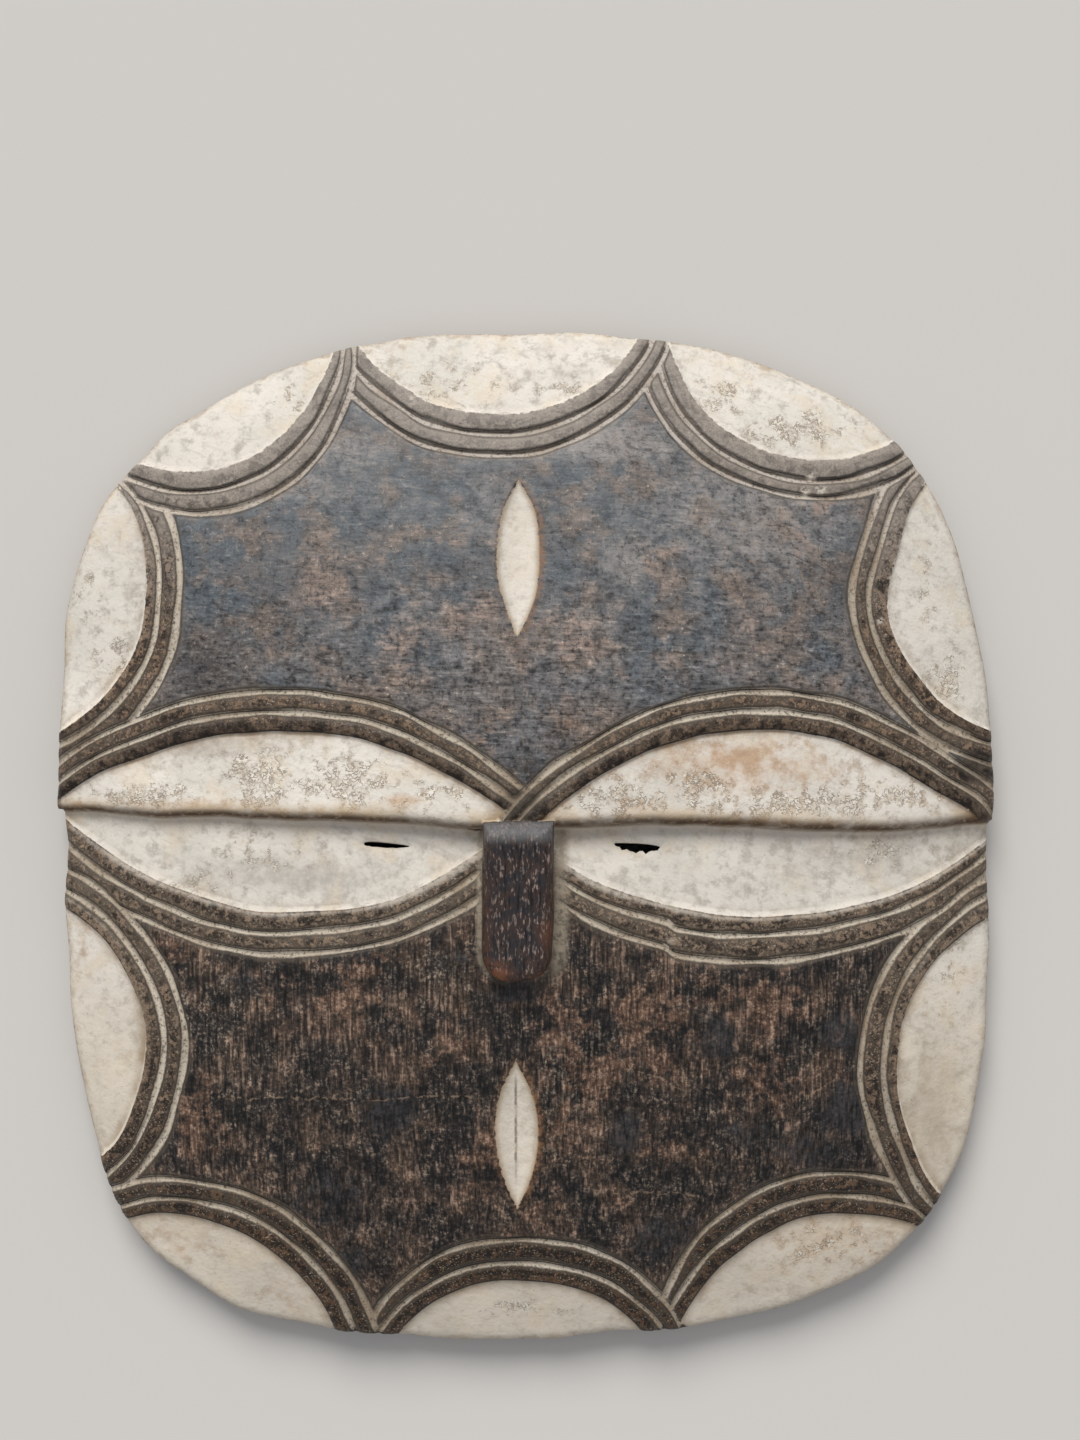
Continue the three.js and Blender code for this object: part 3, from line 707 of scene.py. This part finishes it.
wornAndShadedPlaces = {  # x, y, half width, half height, strength
    "rust": [
        (-67, 84, 8, 15, 1), (-41, 64, 13, 12, 1), (18, 67, 8, 13, 0.9), (-15, 34, 9, 8, 1.1),
        (13, 42, 5, 8, 0.8), (42, 97, 11, 8, 0.5), (74, 80, 11, 13, 0.5), (93, 108, 12, 13, 0.6),
        (-101, 89, 12, 10, 0.3), (-21, 76, 8, 13, 0.8), (-1, 58, 3, 12, 0.8), (-75, -60, 37, 25, 0.12),
        (-112, -92, 12, 14, 0.85), (-56, -48, 13, 13, 0.9), (42, -60, 16, 13, 0.95), (82, -54, 14, 14, 1),
        (81, -82, 12, 10, 0.9), (49, -104, 13, 13, 0.6), (14, -60, 20, 10, 0.75), (-28, -73, 13, 13, 0.5),
        (32, -126, 15, 10, 0.2), (22, -78, 15, 14, 1), (-14, -108, 10, 10, 1), (-120, -40, 8, 10, 0.6),
        (62, -50, 9, 8, 0.8), (46, -74, 6, 7, 1.2), (-78, -47, 10, 7, 0.7), (14, -96, 8, 8, 0.7),
        (8, -120, 12, 10, 0.5), (84, -78, 6, 10, 1)],
    "sootAndShade": [  # above 1 the wood is as dark as the bands
        (-1.5, 12, 9, 7, 1.3), (156, 24, 10, 6, 1.6), (-112, 36, 42, 13, 0.66), (-108, 58, 20, 20, 0.62),
        (-84, 80, 15, 20, 0.42), (108, 88, 9, 16, 0.5), (140, -96, 14, 34, 0.62), (-130, -74, 7, 34, 0.5),
        (-2.1, 68, 6, 6, 0.28), (14, 24, 16, 12, 0.5), (-56, 50, 16, 12, 0.2), (-134, 96, 5, 40, 0.3),
        (65, -67, 7, 9, 0.9), (34, -98, 8, 11, 0.7), (107, -65, 8, 8, 0.9), (110, -92, 10, 10, 0.9),
        (76, -99, 10, 8, 0.5), (48, -135, 16, 9, 0.65), (-60, -146, 10, 8, 0.65), (-45, -91, 10, 10, 0.9),
        (-23, -40, 10, 6, 0.4), (2, 24, 10, 7, 0.7), (-96, -47, 10, 10, 0.4), (-66, -66, 12, 8, 0.35),
        # the last spot, below the nose, is a painted shadow
        (-66, -122, 20, 14, 0.5), (96, -106, 16, 10, 0.6), (150, -3, 13, 6, 0.5), (-2, -50, 11, 5, 0.85)],
    "fresh": [  # where the pigment in the cut lines is whiter
        (-128, 72, 18, 60, 0.9), (-130, -74, 18, 44, 1), (-80, -28, 50, 12, 0.7), (85, -30, 60, 12, 0.7),
        (75, 42, 70, 10, 0.7), (-40, 42, 50, 12, 0.4), (20, -145, 26, 16, 0.7)],
    "veilAndLipShade": [
        (78, 108, 42, 26, 0.7), (20, 68, 12, 14, 0.5), (-40, 112, 34, 12, 0.25), (-10, 112, 11, 16, 0.5),
        (36, 94, 10, 12, 0.9), (30, 134, 24, 8, 1), (-60, 132, 16, 10, 0.6), (-70, 119, 12, 8, 0.6),
        (-38, 76, 18, 10, 0.35), (-18, 60, 10, 8, 0.4), (-30, 158, 18, 9, 0.5), (12, 158, 20, 7, 0.5),
        # the first three spots here, just below the eye line, are painted shade under the jutting upper half;
        # the others are veils
        (-80, -12, 44, 9, 0.9), (85, -16, 40, 8, 0.4), (116, -7, 34, 7, 0.8), (20, -78, 20, 22, 1),
        (-34, -44, 24, 10, 0.7), (-106, -66, 14, 30, 0.8)],
    "stain": [
        (70, 27, 16, 7, 1), (70, 24, 44, 13, 0.75), (37, 12, 9, 3, 0.8), (77, 6, 23, 1.7, 0.8),
        (-39, 13, 9, 3, 1), (-154, 11, 5, 2, 0.7), (-109, 11, 37, 3, 0.5), (-75, 10, 50, 2, 0.4),
        (-47, 168, 10, 3, 0.4), (108, -138, 30, 16, 0.55), (-119, -139, 20, 12, 0.4), (40, -163, 8, 7, 0.5),
        (138, 13, 20, 5, 0.4), (12, 3, 3, 7, 0.5), (-153, -43, 5, 13, 0.4), (146, -56, 7, 20, 0.3),
        (-77, -159, 17, 6, 0.4)],
    "flaking": [
        (-87, 20, 12, 9, 1), (-130, 15, 16, 4, 0.9), (-58, 19, 20, 7, 0.8), (-31, 14, 13, 5, 0.7),
        (-94, 26, 5, 3, 0.8), (32, 14, 20, 6, 0.8), (92, 12, 30, 4, 1), (58, 17, 13, 8, 0.7),
        (127, 15, 18, 5, 0.7), (-26, 155, 20, 7, 0.45), (15, 153, 13, 5, 0.4), (-81, 150, 8, 7, 0.4),
        (67, 150, 10, 8, 0.5), (94, 140, 17, 5, 0.9), (-150, 85, 5, 10, 0.45), (-142, 61, 6, 10, 0.5),
        (145, 54, 7, 8, 0.9), (139, 88, 5, 13, 0.4), (-142, -35, 6, 6, 0.6), (105, -140, 15, 8, 0.5),
        (-89, -4, 20, 7, 0.3), (-110, -14, 17, 5, 0.35), (121, -4, 17, 7, 0.3), (118, 126, 10, 4, 0.6),
        (-2, -163, 20, 4, 0.3), (146, -49, 5, 17, 0.4)],
}
scratches = [  # from, to, half width
    ((-131, -88.8), (-15, -86), 0.28), ((-1.4, 66), (-0.8, 29), 0.3), ((-96, 70), (-60, 62), 0.2),
    ((60, 118), (84, 92), 0.18), ((-34, 96), (-12, 108), 0.18), ((20, -118), (64, -122), 0.2),
    ((86, 112), (98, 76), 0.22), ((70, 96), (94, 84), 0.2), ((62, 84), (80, 112), 0.16),
    ((30, -74), (56, -84), 0.25), ((54, -74), (64, -88), 0.2), ((92, -88), (106, -80), 0.25)]
noseRubbed = [  # place, radius, share
    ((-9, -44, 47), 8, 0.8), ((6, -46, 47), 6, 0.4), ((9, -30, 48), 8, 0.2)]


# Wiring of the one material, where a name stands for a pattern, a stored value or a colour

wood = bpy.data.materials.new("carvedWood")
wood.use_nodes = True
tree = wood.node_tree
here = {}  # what is known at each place on the surface
surface = {}  # its colour, its roughness and its height in millimetres for the bump


def addNode(kind, inputs, **settings):
    node = tree.nodes.new("ShaderNode" + kind)
    for name, value in settings.items():
        setattr(node, name, value)
    for name, value in inputs.items():
        value = here[value] if isinstance(value, str) else value
        if isinstance(value, bpy.types.NodeSocket):
            tree.links.new(value, node.inputs[name])
        else:
            node.inputs[name].default_value = value
    return node


def calc(how, *values):
    return addNode("Math", dict(enumerate(values)), operation=how).outputs[0]


def times(*values):
    return reduce(lambda total, value: calc("MULTIPLY", total, value), values)


def plus(*values):
    return reduce(lambda total, value: calc("ADD", total, value), values)


def rise(value, low, high, start=0.0, end=1.0):  # smoothly from start to end as value goes from low to high
    inputs = {"Value": value, "From Min": low, "From Max": high, "To Min": start, "To Max": end}
    return addNode("MapRange", inputs, interpolation_type="SMOOTHSTEP").outputs[0]


def blend(share, *colours):
    named = [hues[c] if isinstance(c, str) else c for c in colours]
    first, second = ((*tone(*c), 1) if isinstance(c, tuple) else c for c in named)
    return addNode("Mix", {0: share, 6: first, 7: second}, data_type="RGBA").outputs[2]


def coats(colour, *layers):  # from the bottom up, each with its share and its colour
    return reduce(lambda below, layer: blend(layer[0], below, layer[1]), layers, colour)


def ramp(name):  # from one colour to the next up the mask
    stops = upTheMask[name]
    pairs = zip(stops, stops[1:])
    return coats(stops[0][1], *((rise("y", low, high), colour) for (low, _), (high, colour) in pairs))


def tint(*layers):
    surface["colour"] = coats(surface["colour"], *layers)


def layOver(share, finish):
    rest = calc("SUBTRACT", 1.0, share)
    tint((share, finish[0]))
    for name, value in zip(("rough", "height"), finish[1:]):
        surface[name] = plus(times(surface[name], rest), times(share, value))


def deepen(colour, factor):  # darker below 1, lighter above it
    return addNode("VectorMath", {0: colour, "Scale": factor}, operation="SCALE").outputs[0]


def mottled(colour, marks, base):  # small darker and lighter marks, the darkest about 0.4 of it
    return deepen(colour, plus(calc("MAXIMUM", marks, -0.6), base))


def broken(name, away):  # moved by up to so much each way, so that its edges break up in patches
    return plus(name, rise("patch", 0.3, 0.7, -away, away))


def frayed(name, away):  # the same but much finer, by up to three quarters of that
    return plus(name, times("fray", away))


def noise(size, detail=2.0, rough=0.5, squeeze=None, warp=0.0, at="at"):
    if squeeze:
        at = addNode("VectorMath", {0: at, 1: squeeze}, operation="MULTIPLY").outputs[0]
    inputs = {"Vector": at, "Scale": 1 / size, "Detail": detail, "Roughness": rough, "Distortion": warp}
    return addNode("TexNoise", inputs).outputs[0]


def readPlace():
    for layer in mask.data.attributes:
        if layer.data_type == "FLOAT":
            here[layer.name] = addNode("Attribute", {}, attribute_name=layer.name).outputs["Fac"]
    place = addNode("TexCoord", {}).outputs["Object"]
    at = addNode("VectorMath", {0: place, 1: (1 / mm, 1 / mm, 1 / mm)}, operation="MULTIPLY").outputs[0]
    turned = addNode("Mapping", {"Vector": at, "Rotation": (0, 0, 0.35)}).outputs[0]
    apart = addNode("SeparateXYZ", {0: at}).outputs
    here.update(at=at, x=apart["X"], y=apart["Y"])
    for name, *pattern in (
            ("cloud", 34, 4, 0.58), ("drift", 14, 4, 0.6), ("patch", 5, 4, 0.66), ("ragged", 2.3, 3, 0.65),
            ("fine", 1.15, 2, 0.7), ("grit", 0.62, 1, 0.6), ("down", 0.95, 2, 0.6, (1, 0.13, 1)),
            ("across", 0.95, 2, 0.6, (0.16, 1, 1)), ("streak", 1.3, 2, 0.55, (1, 0.06, 1)),
            ("smear", 2.1, 3, 0.62, (0.24, 1, 1), 0.8, turned)):
        here[name] = noise(*pattern)
    here["fray"] = rise("ragged", 0.25, 0.75, -0.75, 0.75)
    here["isUpper"] = rise("step", -0.5, 0.1)
    here["isLower"] = calc("SUBTRACT", 1.0, "isUpper")


# Finishes: each gives a colour, a roughness and a height

def kaolin():
    smears = times(rise("patch", 0.46, 0.66), rise("drift", 0.56, 0.42, 0.3), rise("y", 90, 140, 0.7, 0.85))
    colour = coats(
        "kaolinCool",
        (rise("cloud", 0.38, 0.62), "kaolinWarm"),
        (rise("drift", 0.5, 0.66, 0, 0.5), "kaolinTan"),
        (smears, "kaolinGrey"),
        (rise("fine", 0.5, 0.75, 0, 0.35), (244, 238, 226)),
        (rise("ragged", 0.42, 0.28, 0, 0.3), (168, 158, 144)),
        (rise("smear", 0.54, 0.7, 0, 0.35), "kaolinGrey"),
        # grey veils, and painted shade just below the eye line
        (rise(broken("veilAndLipShade", 0.3), 0.05, 1.1, 0, 0.75), "kaolinGrey"),
        (rise(broken("sootAndShade", 0.15), 0.1, 0.7, 0, 0.6), (150, 136, 118)),
        (rise("y", -20, -90, 0, 0.4), "kaolinTan"),
        (rise(broken("stain", 0.28), 0.15, 1.1, 0, 0.7), "kaolinStain"))

    # clusters of small curls where it has flaked, and scattered pits
    curls = rise(calc("ABSOLUTE", plus(noise(1.7, 2, 0.62), -0.5)), 0.06, 0.015)
    flaked = rise(plus("flaking", rise("patch", 0.35, 0.65, -0.4, 0.35)), 0.22, 0.7)
    pits = rise(plus("fine", times(flaked, 0.08)), 0.69, 0.76)
    marks = calc("MAXIMUM", times(curls, flaked, rise("ragged", 0.36, 0.56, 0.35)), times(pits, 0.6))
    colour = coats(
        colour,
        (times(flaked, 0.35), (204, 190, 168)),
        (times(flaked, rise("ragged", 0.48, 0.6, 0, 0.75)), (242, 236, 224)),
        (times(marks, 0.72), "flakeEdge"))
    # painted light: the kaolin over the brow is made up to 17% lighter, most on the left, and the kaolin at
    # the top 8% lighter
    browLight = times(rise("step", 0.5, 4), rise("y", 62, 44), rise("x", 10, -10, 0.08, 0.17))
    colour = deepen(colour, plus(browLight, rise("y", 110, 150, 1, 1.08)))
    return colour, 0.84, calc("SUBTRACT", times("ragged", 0.3), times(marks, 0.2))


def wornShare(low, high):  # rubbed places, with the edges broken up
    spread = plus("rust", rise("patch", 0.32, 0.68, -0.45, 0.42), rise("drift", 0.36, 0.64, -0.3, 0.25))
    return rise(spread, low, high)


def polishedWood():
    hue = plus("cloud", rise("drift", 0.35, 0.65, -0.1, 0.1), rise("y", 125, 35, -0.1, 0.12))
    hatch = calc("MAXIMUM", "down", "across")
    worn = wornShare(0.15, 1.15)
    rubbed = plus(hatch, times(plus("smear", -0.5), 1.2))
    gaps = rise(calc("MINIMUM", "down", "across"), 0.42, 0.28)
    colour = coats(
        "polishBlue",
        (rise(hue, 0.3, 0.7), "polishBrown"),
        (rise(broken("veilAndLipShade", 0.2), 0, 1, 0, 0.75), (154, 147, 142)),
        (rise("patch", 0.46, 0.3, 0, 0.5), (62, 63, 66)),
        (rise("drift", 0.5, 0.66, 0, 0.55), (130, 114, 102)),
        (times(worn, rise(rubbed, 0.4, 0.68, 0.25, 0.9)), ramp("rust")),
        (times(gaps, rise(worn, 0, 0.6, 0.15, 0.5)), (48, 44, 43)),
        (rise("smear", 0.44, 0.3, 0, 0.6), (56, 55, 58)),
        (rise("smear", 0.58, 0.72, 0, 0.4), (148, 140, 132)),
        (rise(broken("sootAndShade", 0.3), 0.25, 0.9, 0, 0.75), (46, 43, 41)),
        (rise("fine", 0.43, 0.27, 0, 0.6), (36, 34, 35)),
        (rise("grit", 0.42, 0.26, 0, 0.2), (36, 34, 34)),
        (rise("ragged", 0.46, 0.3, 0, 0.4), (54, 52, 54)),
        (rise(hatch, 0.62, 0.76, 0, 0.35), (158, 150, 141)),
        (rise("grit", 0.6, 0.8, 0, 0.2), (184, 176, 164)),
        (times(rise("fine", 0.63, 0.74), rise("drift", 0.42, 0.6, 0.15, 0.75)), (178, 168, 154)))
    marks = times(plus("ragged", "across", "patch", -1.48), rise("y", 100, 40, 0.9, 2.2))
    height = plus(times("fine", 0.09), times(hatch, 0.05))
    return mottled(colour, marks, 0.98), rise("ragged", 0.3, 0.7, 0.4, 0.58), height


def grainedWood():
    streaked = times(plus("down", -0.5), rise("cloud", 0.4, 0.6, 0.35, 0.9))
    speck = rise(plus("fine", streaked, times(plus("grit", -0.5), 0.2)), 0.47, 0.74)
    worn = wornShare(0.25, 0.95)
    rust = blend(times(speck, rise("ragged", 0.4, 0.6, 0.4)), "rustWood", "rustLight")
    # darker with soot, and with a painted shadow below the nose
    dark = calc("SUBTRACT", rise(broken("sootAndShade", 0.25), 0.15, 0.75), times(worn, 0.5))
    dusted = times(speck, rise("patch", 0.42, 0.64, 0.15, 0.65), rise(dark, 0, 0.8, 1, 0.15),
                   rise(worn, 0, 0.8, 0.9, 0.35))
    streak = times(rise("streak", 0.54, 0.7), rise("drift", 0.44, 0.6, 0.1, 0.6), rise(dark, 0, 0.8, 1, 0.2))
    calm = rise(worn, 0.1, 1, 1, 0.45)
    pores = (("streak", 0.46, 0.3, 0.5), ("patch", 0.46, 0.32, 0.4), ("down", 0.47, 0.3, 0.65),
             ("fine", 0.45, 0.28, 0.6))
    colour = coats(
        "grainedBlack",
        (rise("drift", 0.4, 0.62), "grainedBrown"),
        (times(rise(broken("veilAndLipShade", 0.35), 0.2, 0.9), speck), "ashWood"),
        (times(worn, rise("ragged", 0.34, 0.5, 0.55)), rust),
        (rise(dark, 0, 1, 0, 0.85), "sootWood"),
        (dusted, "dust"),
        (streak, (146, 122, 106)),
        *((times(rise(name, high, low, 0, share), calm), (22, 19, 17)) for name, high, low, share in pores))
    marks = times(plus("ragged", "down", "patch", "drift", -1.97), 2.1)
    height = plus(times("down", 0.3), times("fine", 0.14))
    return mottled(colour, marks, 1), rise("ragged", 0.35, 0.65, 0.5, 0.68), height


def bandWood():
    # worn patches, light grey at the top as a painted sheen
    worn = ramp("bandWornAndSheen")
    edge = times(rise("ground", -2.8, -0.5), rise("patch", 0.36, 0.56), rise("ragged", 0.36, 0.5, 0.3, 0.9))
    # painted shade: the bands darkened just above the kaolin of the brows, where they step down facing down
    # the mask
    browBandShade = times(rise("step", 0, 2), rise("y", 50, 36), rise("ground", -5.5, -0.3),
                  rise("patch", 0.4, 0.6, 0.9, 0.45))
    colour = coats(
        ramp("band"),
        (times(rise("patch", 0.53, 0.4), rise("y", 95, 130, 0.75, 0.3)), "bandDark"),
        (rise("ragged", 0.5, 0.62, 0, 0.85), worn),
        (edge, worn),
        (times(rise("grit", 0.56, 0.72), rise("patch", 0.4, 0.6, 0.2, 0.7)), (182, 168, 150)),
        (times(rise("fine", 0.46, 0.3), rise("y", 80, 125, 0.85, 0.2)), "bandDark"),
        (browBandShade, (30, 21, 15)),
        (rise("sootAndShade", 0.4, 0.9, 0, 0.9), "bandDark"))
    return colour, rise("ragged", 0.35, 0.65, 0.42, 0.6), plus(times("ragged", 0.3), times("fine", 0.12))


def noseWood():
    dashes = rise(plus(noise(0.8, 2, 0.6, (1, 0.35, 1)), times("down", 0.5)), 0.79, 0.93)
    speck = times(dashes, rise("x", -4, 8, 0.75), rise("patch", 0.4, 0.6, 0.3, 0.9))
    edge = times(rise("nose", 5, 0.4), rise("y", 0, -36, 0.35), rise("ragged", 0.38, 0.58, 0.25), 0.9)
    rubbed = []
    for centre, radius, share in noseRubbed:
        away = addNode("VectorMath", {0: "at", 1: centre}, operation="DISTANCE").outputs["Value"]
        rubbed.append((times(rise(away, radius, 0), rise("ragged", 0.36, 0.56, 0.2, share)), "noseOrange"))
    colour = coats(
        "noseWood",
        (rise("patch", 0.4, 0.62), "noseBrown"),
        (speck, (164, 146, 136)),
        (rise("down", 0.48, 0.32, 0, 0.85), (18, 17, 19)),
        (edge, "noseWear"),
        *rubbed,
        # painted highlight: the top of the nose made pale grey where the light catches it
        (times(rise("y", -1.5, 2.2), rise("ragged", 0.25, 0.6, 0.6), 0.55), (122, 122, 123)),
        (rise("nose", 0.5, -0.1, 0, 0.8), (30, 21, 17)))
    return colour, 0.44, times("down", 0.3)


def rawWood():
    colour = coats(
        "rawDark",
        (rise("cloud", 0.34, 0.66), "rawLight"),
        (rise("down", 0.52, 0.7, 0, 0.5), (128, 102, 76)),
        (rise("down", 0.46, 0.3, 0, 0.7), (32, 24, 19)),
        (rise("patch", 0.54, 0.7, 0, 0.45), (42, 33, 27)))
    return colour, 0.74, plus(times("down", 0.35), times("fine", 0.1))


# The finishes laid over each other, part by part

def scratch(start, end, half):
    length = math.dist(start, end)
    x, y = ((b - a) / length for a, b in zip(start, end))
    moved = addNode("VectorMath", {0: "at", 1: (-start[0], -start[1], 0)}, operation="ADD").outputs[0]
    along, aside = (addNode("VectorMath", {0: moved, 1: way}, operation="DOT_PRODUCT").outputs["Value"]
                    for way in ((x, y, 0), (-y, x, 0)))
    shaky = calc("ABSOLUTE", plus(aside, rise("drift", 0.3, 0.7, -1.2, 1.2)))
    return times(rise(shaky, half * 2, half * 0.6), rise(along, 0, 6), rise(along, length, length - 6))


def layBands():  # with the long scratches, and pale kaolin dust and painted light on the upper edges below the eyes, where they face up the mask
    layOver(calc("MAXIMUM", rise("border", -0.6, 0.2), rise("sootAndShade", 0.9, 1.1)), bandWood())
    for start, end, half in scratches:
        tint((times(scratch(start, end, half), rise("fray", -0.2, 0.3, 0, 0.6)), (146, 124, 102)))
    # pale where band edges below the eyes face up the mask: kaolin dust and a painted highlight
    dustAndHighlight = times(rise("ground", -5, -0.2), rise("slope", 0.05, 0.4), rise("fray", -0.6, 0.3, 0.45, 0.9))
    tint((times(dustAndHighlight, rise("y", -60, -42), "isLower"), (190, 181, 168)))


def layLines():  # pigment in the cut lines, with painted shade on the walls that face down the mask and along the edges of the grooves
    crown, tan = rise("y", 108, 126), ramp("lineTan")
    pigment = coats(
        ramp("linePigment"),
        (rise("drift", 0.36, 0.64), tan),
        (times("fresh", rise("ragged", 0.35, 0.55, 0.5)), "lineFresh"),
        (rise("fine", 0.5, 0.32, 0, 0.65), (84, 70, 58)))
    smeared = calc("MAXIMUM", rise("y", 126, 108, 0, 0.3), times(crown, rise("slope", 0.3, 0.5), 0.6))
    tint((times(smeared, rise(frayed("cutLine", 0.6), 2.7, 1.2)), tan))
    inLine = times(rise(frayed("cutLine", 0.4), 1.4, 0.9), rise("ragged", 0.3, 0.42, 0.4),
                   rise("sootAndShade", 0.5, 1.0, 1, 0.45))
    layOver(inLine, (pigment, 0.85, times("fine", 0.12)))
    # painted shade: the crown grooves darkened where their walls face down the mask, and every groove
    # darkened along its edges
    crownGrooveShade = times(crown, rise("slope", 0.24, -0.1), rise("cutLine", 2.2, 1.2), 0.66)
    tint((crownGrooveShade, (48, 39, 32)), (times(rise("cutLine", 0.8, 1.3), rise("cutLine", 2.3, 1.4), 0.55), "creaseShade"))


def layKaolin():  # on the ground of the scallops and in the marks, thin and dirty at its edges, with painted shade at the foot of walls that face down the mask
    depthIn = calc("SUBTRACT", frayed("ground", 0.45), rise("slope", -0.3, 0.5, 0.55, -0.15))
    painted = times(rise(depthIn, -0.25, 0.2), rise(frayed("edgeIn", 1.1), -0.2, 0.5, 0.3, 1), "shown")
    inMark = rise(frayed("mark", 0.5), 0.1, 0.7)
    layOver(calc("MAXIMUM", painted, inMark), kaolin())
    # brown at the foot of the walls: a little dirt, much more where they face down the mask as painted shade;
    # and brown round the rim
    footDirtAndShade = times(rise(depthIn, 4.4, 0.1), rise("drift", 0.36, 0.6, 0.3, 0.8), rise("slope", 0.25, -0.1, 0.1))
    footDirtAndShade = calc("MAXIMUM", footDirtAndShade, rise(broken("edgeIn", 1.6), 2.6, -0.6, 0, 0.55))
    footDirtAndShade = times(footDirtAndShade, times(rise("ground", 0.2, 0.9), rise("nose", 0.3, -0.3)))
    tint((times(rise("mark", 1.2, 4), rise("fray", -0.5, 0.4, 0.25, 0.65)), (236, 227, 214)),
         (times(inMark, rise("mark", 2.4, 0.3, 0, 0.75)), (176, 152, 122)),
         (times(footDirtAndShade, "isUpper"), (146, 120, 92)),
         (times(footDirtAndShade, "isLower", 0.8), (146, 121, 92)))


def layMarks():  # a rubbed edge round each, a dark cut down the middle of the lower one
    rim = times(rise("mark", -2.8, -0.3), rise("mark", 0.9, 0.1), rise("x", -3, 3, 0.3, 0.9),
                rise("fray", -0.4, 0.35, 0.2, 0.85))
    middle = calc("ABSOLUTE", plus(frayed("x", 0.22), 2.9))
    cut = times(rise(middle, 0.7, 0.15), rise("y", -76, -84), rise("y", -120, -106), rise("mark", 0, 1.5),
                rise("fray", -0.6, 0.2, 0.2, 0.7))
    tint((rim, "markRust"), (cut, (96, 72, 54)))


def layCreaseShadeAndChips():  # painted shade where a cut faces down the mask, pale in the chips
    besideGround = times(rise("ground", -1.2, -0.3), rise("ground", 1.4, 0.7))
    nearCut = calc("MAXIMUM", rise("cutLine", 2.2, 1.3), besideGround)
    # painted shade on the walls beside cuts and grounds that face down the mask
    tint((times(rise("slope", -0.6, -1.3), nearCut, 0.88), "creaseShade"),
         (times("chip", rise("fray", -0.3, 0.1), 0.9), (222, 212, 196)))


def layLip():  # the jutting eye line: yellowed above, a brown edge, painted shade below
    onGround = rise("ground", 0, 0.8)
    lipTop = calc("DIVIDE", "step", rise("x", -10, 30, 2.7, 4.1))
    yellowed = times(rise("step", 7, 0.8), onGround, rise("drift", 0.34, 0.6, 0.25, 0.8), "isUpper", 0.75)
    underLip = times(rise("step", -1.5, -0.5), rise(lipTop, 1, 0.05), rise("drift", 0.3, 0.6, 0.6, 0.95),
                     rise("ragged", 0.3, 0.5, 0.6))
    # painted shade just below the jutting upper half
    shade = times(rise("step", -6, 0, 0, 0.35), rise("step", 0, -0.6), onGround)
    tint((yellowed, "lipTan"), (underLip, "lipEdge"), (shade, (196, 174, 146)))


def layNose():  # tan dust round its foot, wider on its right side, then the nose itself
    outwards = calc("DIVIDE", "nose", rise("x", -2, 2, -2.6, -6.5))
    halo = times(rise(outwards, 1.0, 0.45), rise("step", -0.5, -2.5), rise("y", -50, -36),
                 rise("fray", -0.7, 0.3, 0.35, 0.85))
    tint((halo, "noseDust"))
    layOver(rise(frayed("nose", 0.15), -0.15, 0.15), noseWood())


mask = buildMask()
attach(mask, "root")
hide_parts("mask")
mask.data.materials.append(wood)

readPlace()
surface.update(zip(("colour", "rough", "height"), grainedWood()))
layOver("isUpper", polishedWood())
for lay in (layBands, layLines, layKaolin, layMarks, layCreaseShadeAndChips, layLip, layNose):
    lay()
layOver(rise(frayed("shown", 0.3), 0.55, 0.3), rawWood())  # the side and the back are bare
bump = addNode("Bump", {"Height": surface["height"], "Distance": mm, "Strength": 0.9})
shader = tree.nodes["Principled BSDF"]
shader.inputs["Specular IOR Level"].default_value = 0.3
tree.links.new(surface["colour"], shader.inputs["Base Color"])
tree.links.new(surface["rough"], shader.inputs["Roughness"])
tree.links.new(bump.outputs[0], shader.inputs["Normal"])
print("material:", len(tree.nodes), "nodes")


# Floor and light

studio = {
    "floorColour": (218, 215, 210),
    "floorSize": 60,
    "worldColour": (0.93, 0.95, 1.0),
    "worldStrength": 0.42,
    "windowFrom": (-0.15, 0.76, 0.64),  # the direction that the soft light comes from
    "windowStrength": 2.4,
    "windowSpread": 32,  # degrees across, more is softer
    "windowColour": (1, 0.975, 0.94),
}


def addFloor():
    material = bpy.data.materials.new("paleFloor")
    material.use_nodes = True
    shader = material.node_tree.nodes["Principled BSDF"]
    shader.inputs["Base Color"].default_value = (*tone(*studio["floorColour"]), 1)
    shader.inputs["Roughness"].default_value = 0.8
    size = studio["floorSize"]
    corners = [(-size, -size, 0), (size, -size, 0), (size, size, 0), (-size, size, 0)]
    mesh = bpy.data.meshes.new("floor")
    mesh.from_pydata(corners, [], [(0, 1, 2, 3)])
    mesh.materials.append(material)
    floor = bpy.data.objects.new("floor", mesh)
    bpy.context.scene.collection.objects.link(floor)


def addWindow():
    data = bpy.data.lights.new("window", "SUN")
    data.energy = studio["windowStrength"]
    data.angle = math.radians(studio["windowSpread"])
    data.color = studio["windowColour"]
    light = bpy.data.objects.new("window", data)
    light.location = studio["windowFrom"]
    light.rotation_mode = "QUATERNION"
    light.rotation_quaternion = (-Vector(studio["windowFrom"])).to_track_quat("-Z", "Y")
    bpy.context.scene.collection.objects.link(light)


addFloor()
addWindow()
world = bpy.data.worlds.new("studio")
world.use_nodes = True
world.node_tree.nodes["Background"].inputs["Color"].default_value = (*studio["worldColour"], 1)
world.node_tree.nodes["Background"].inputs["Strength"].default_value = studio["worldStrength"]
bpy.context.scene.world = world
print("floor and lights set")
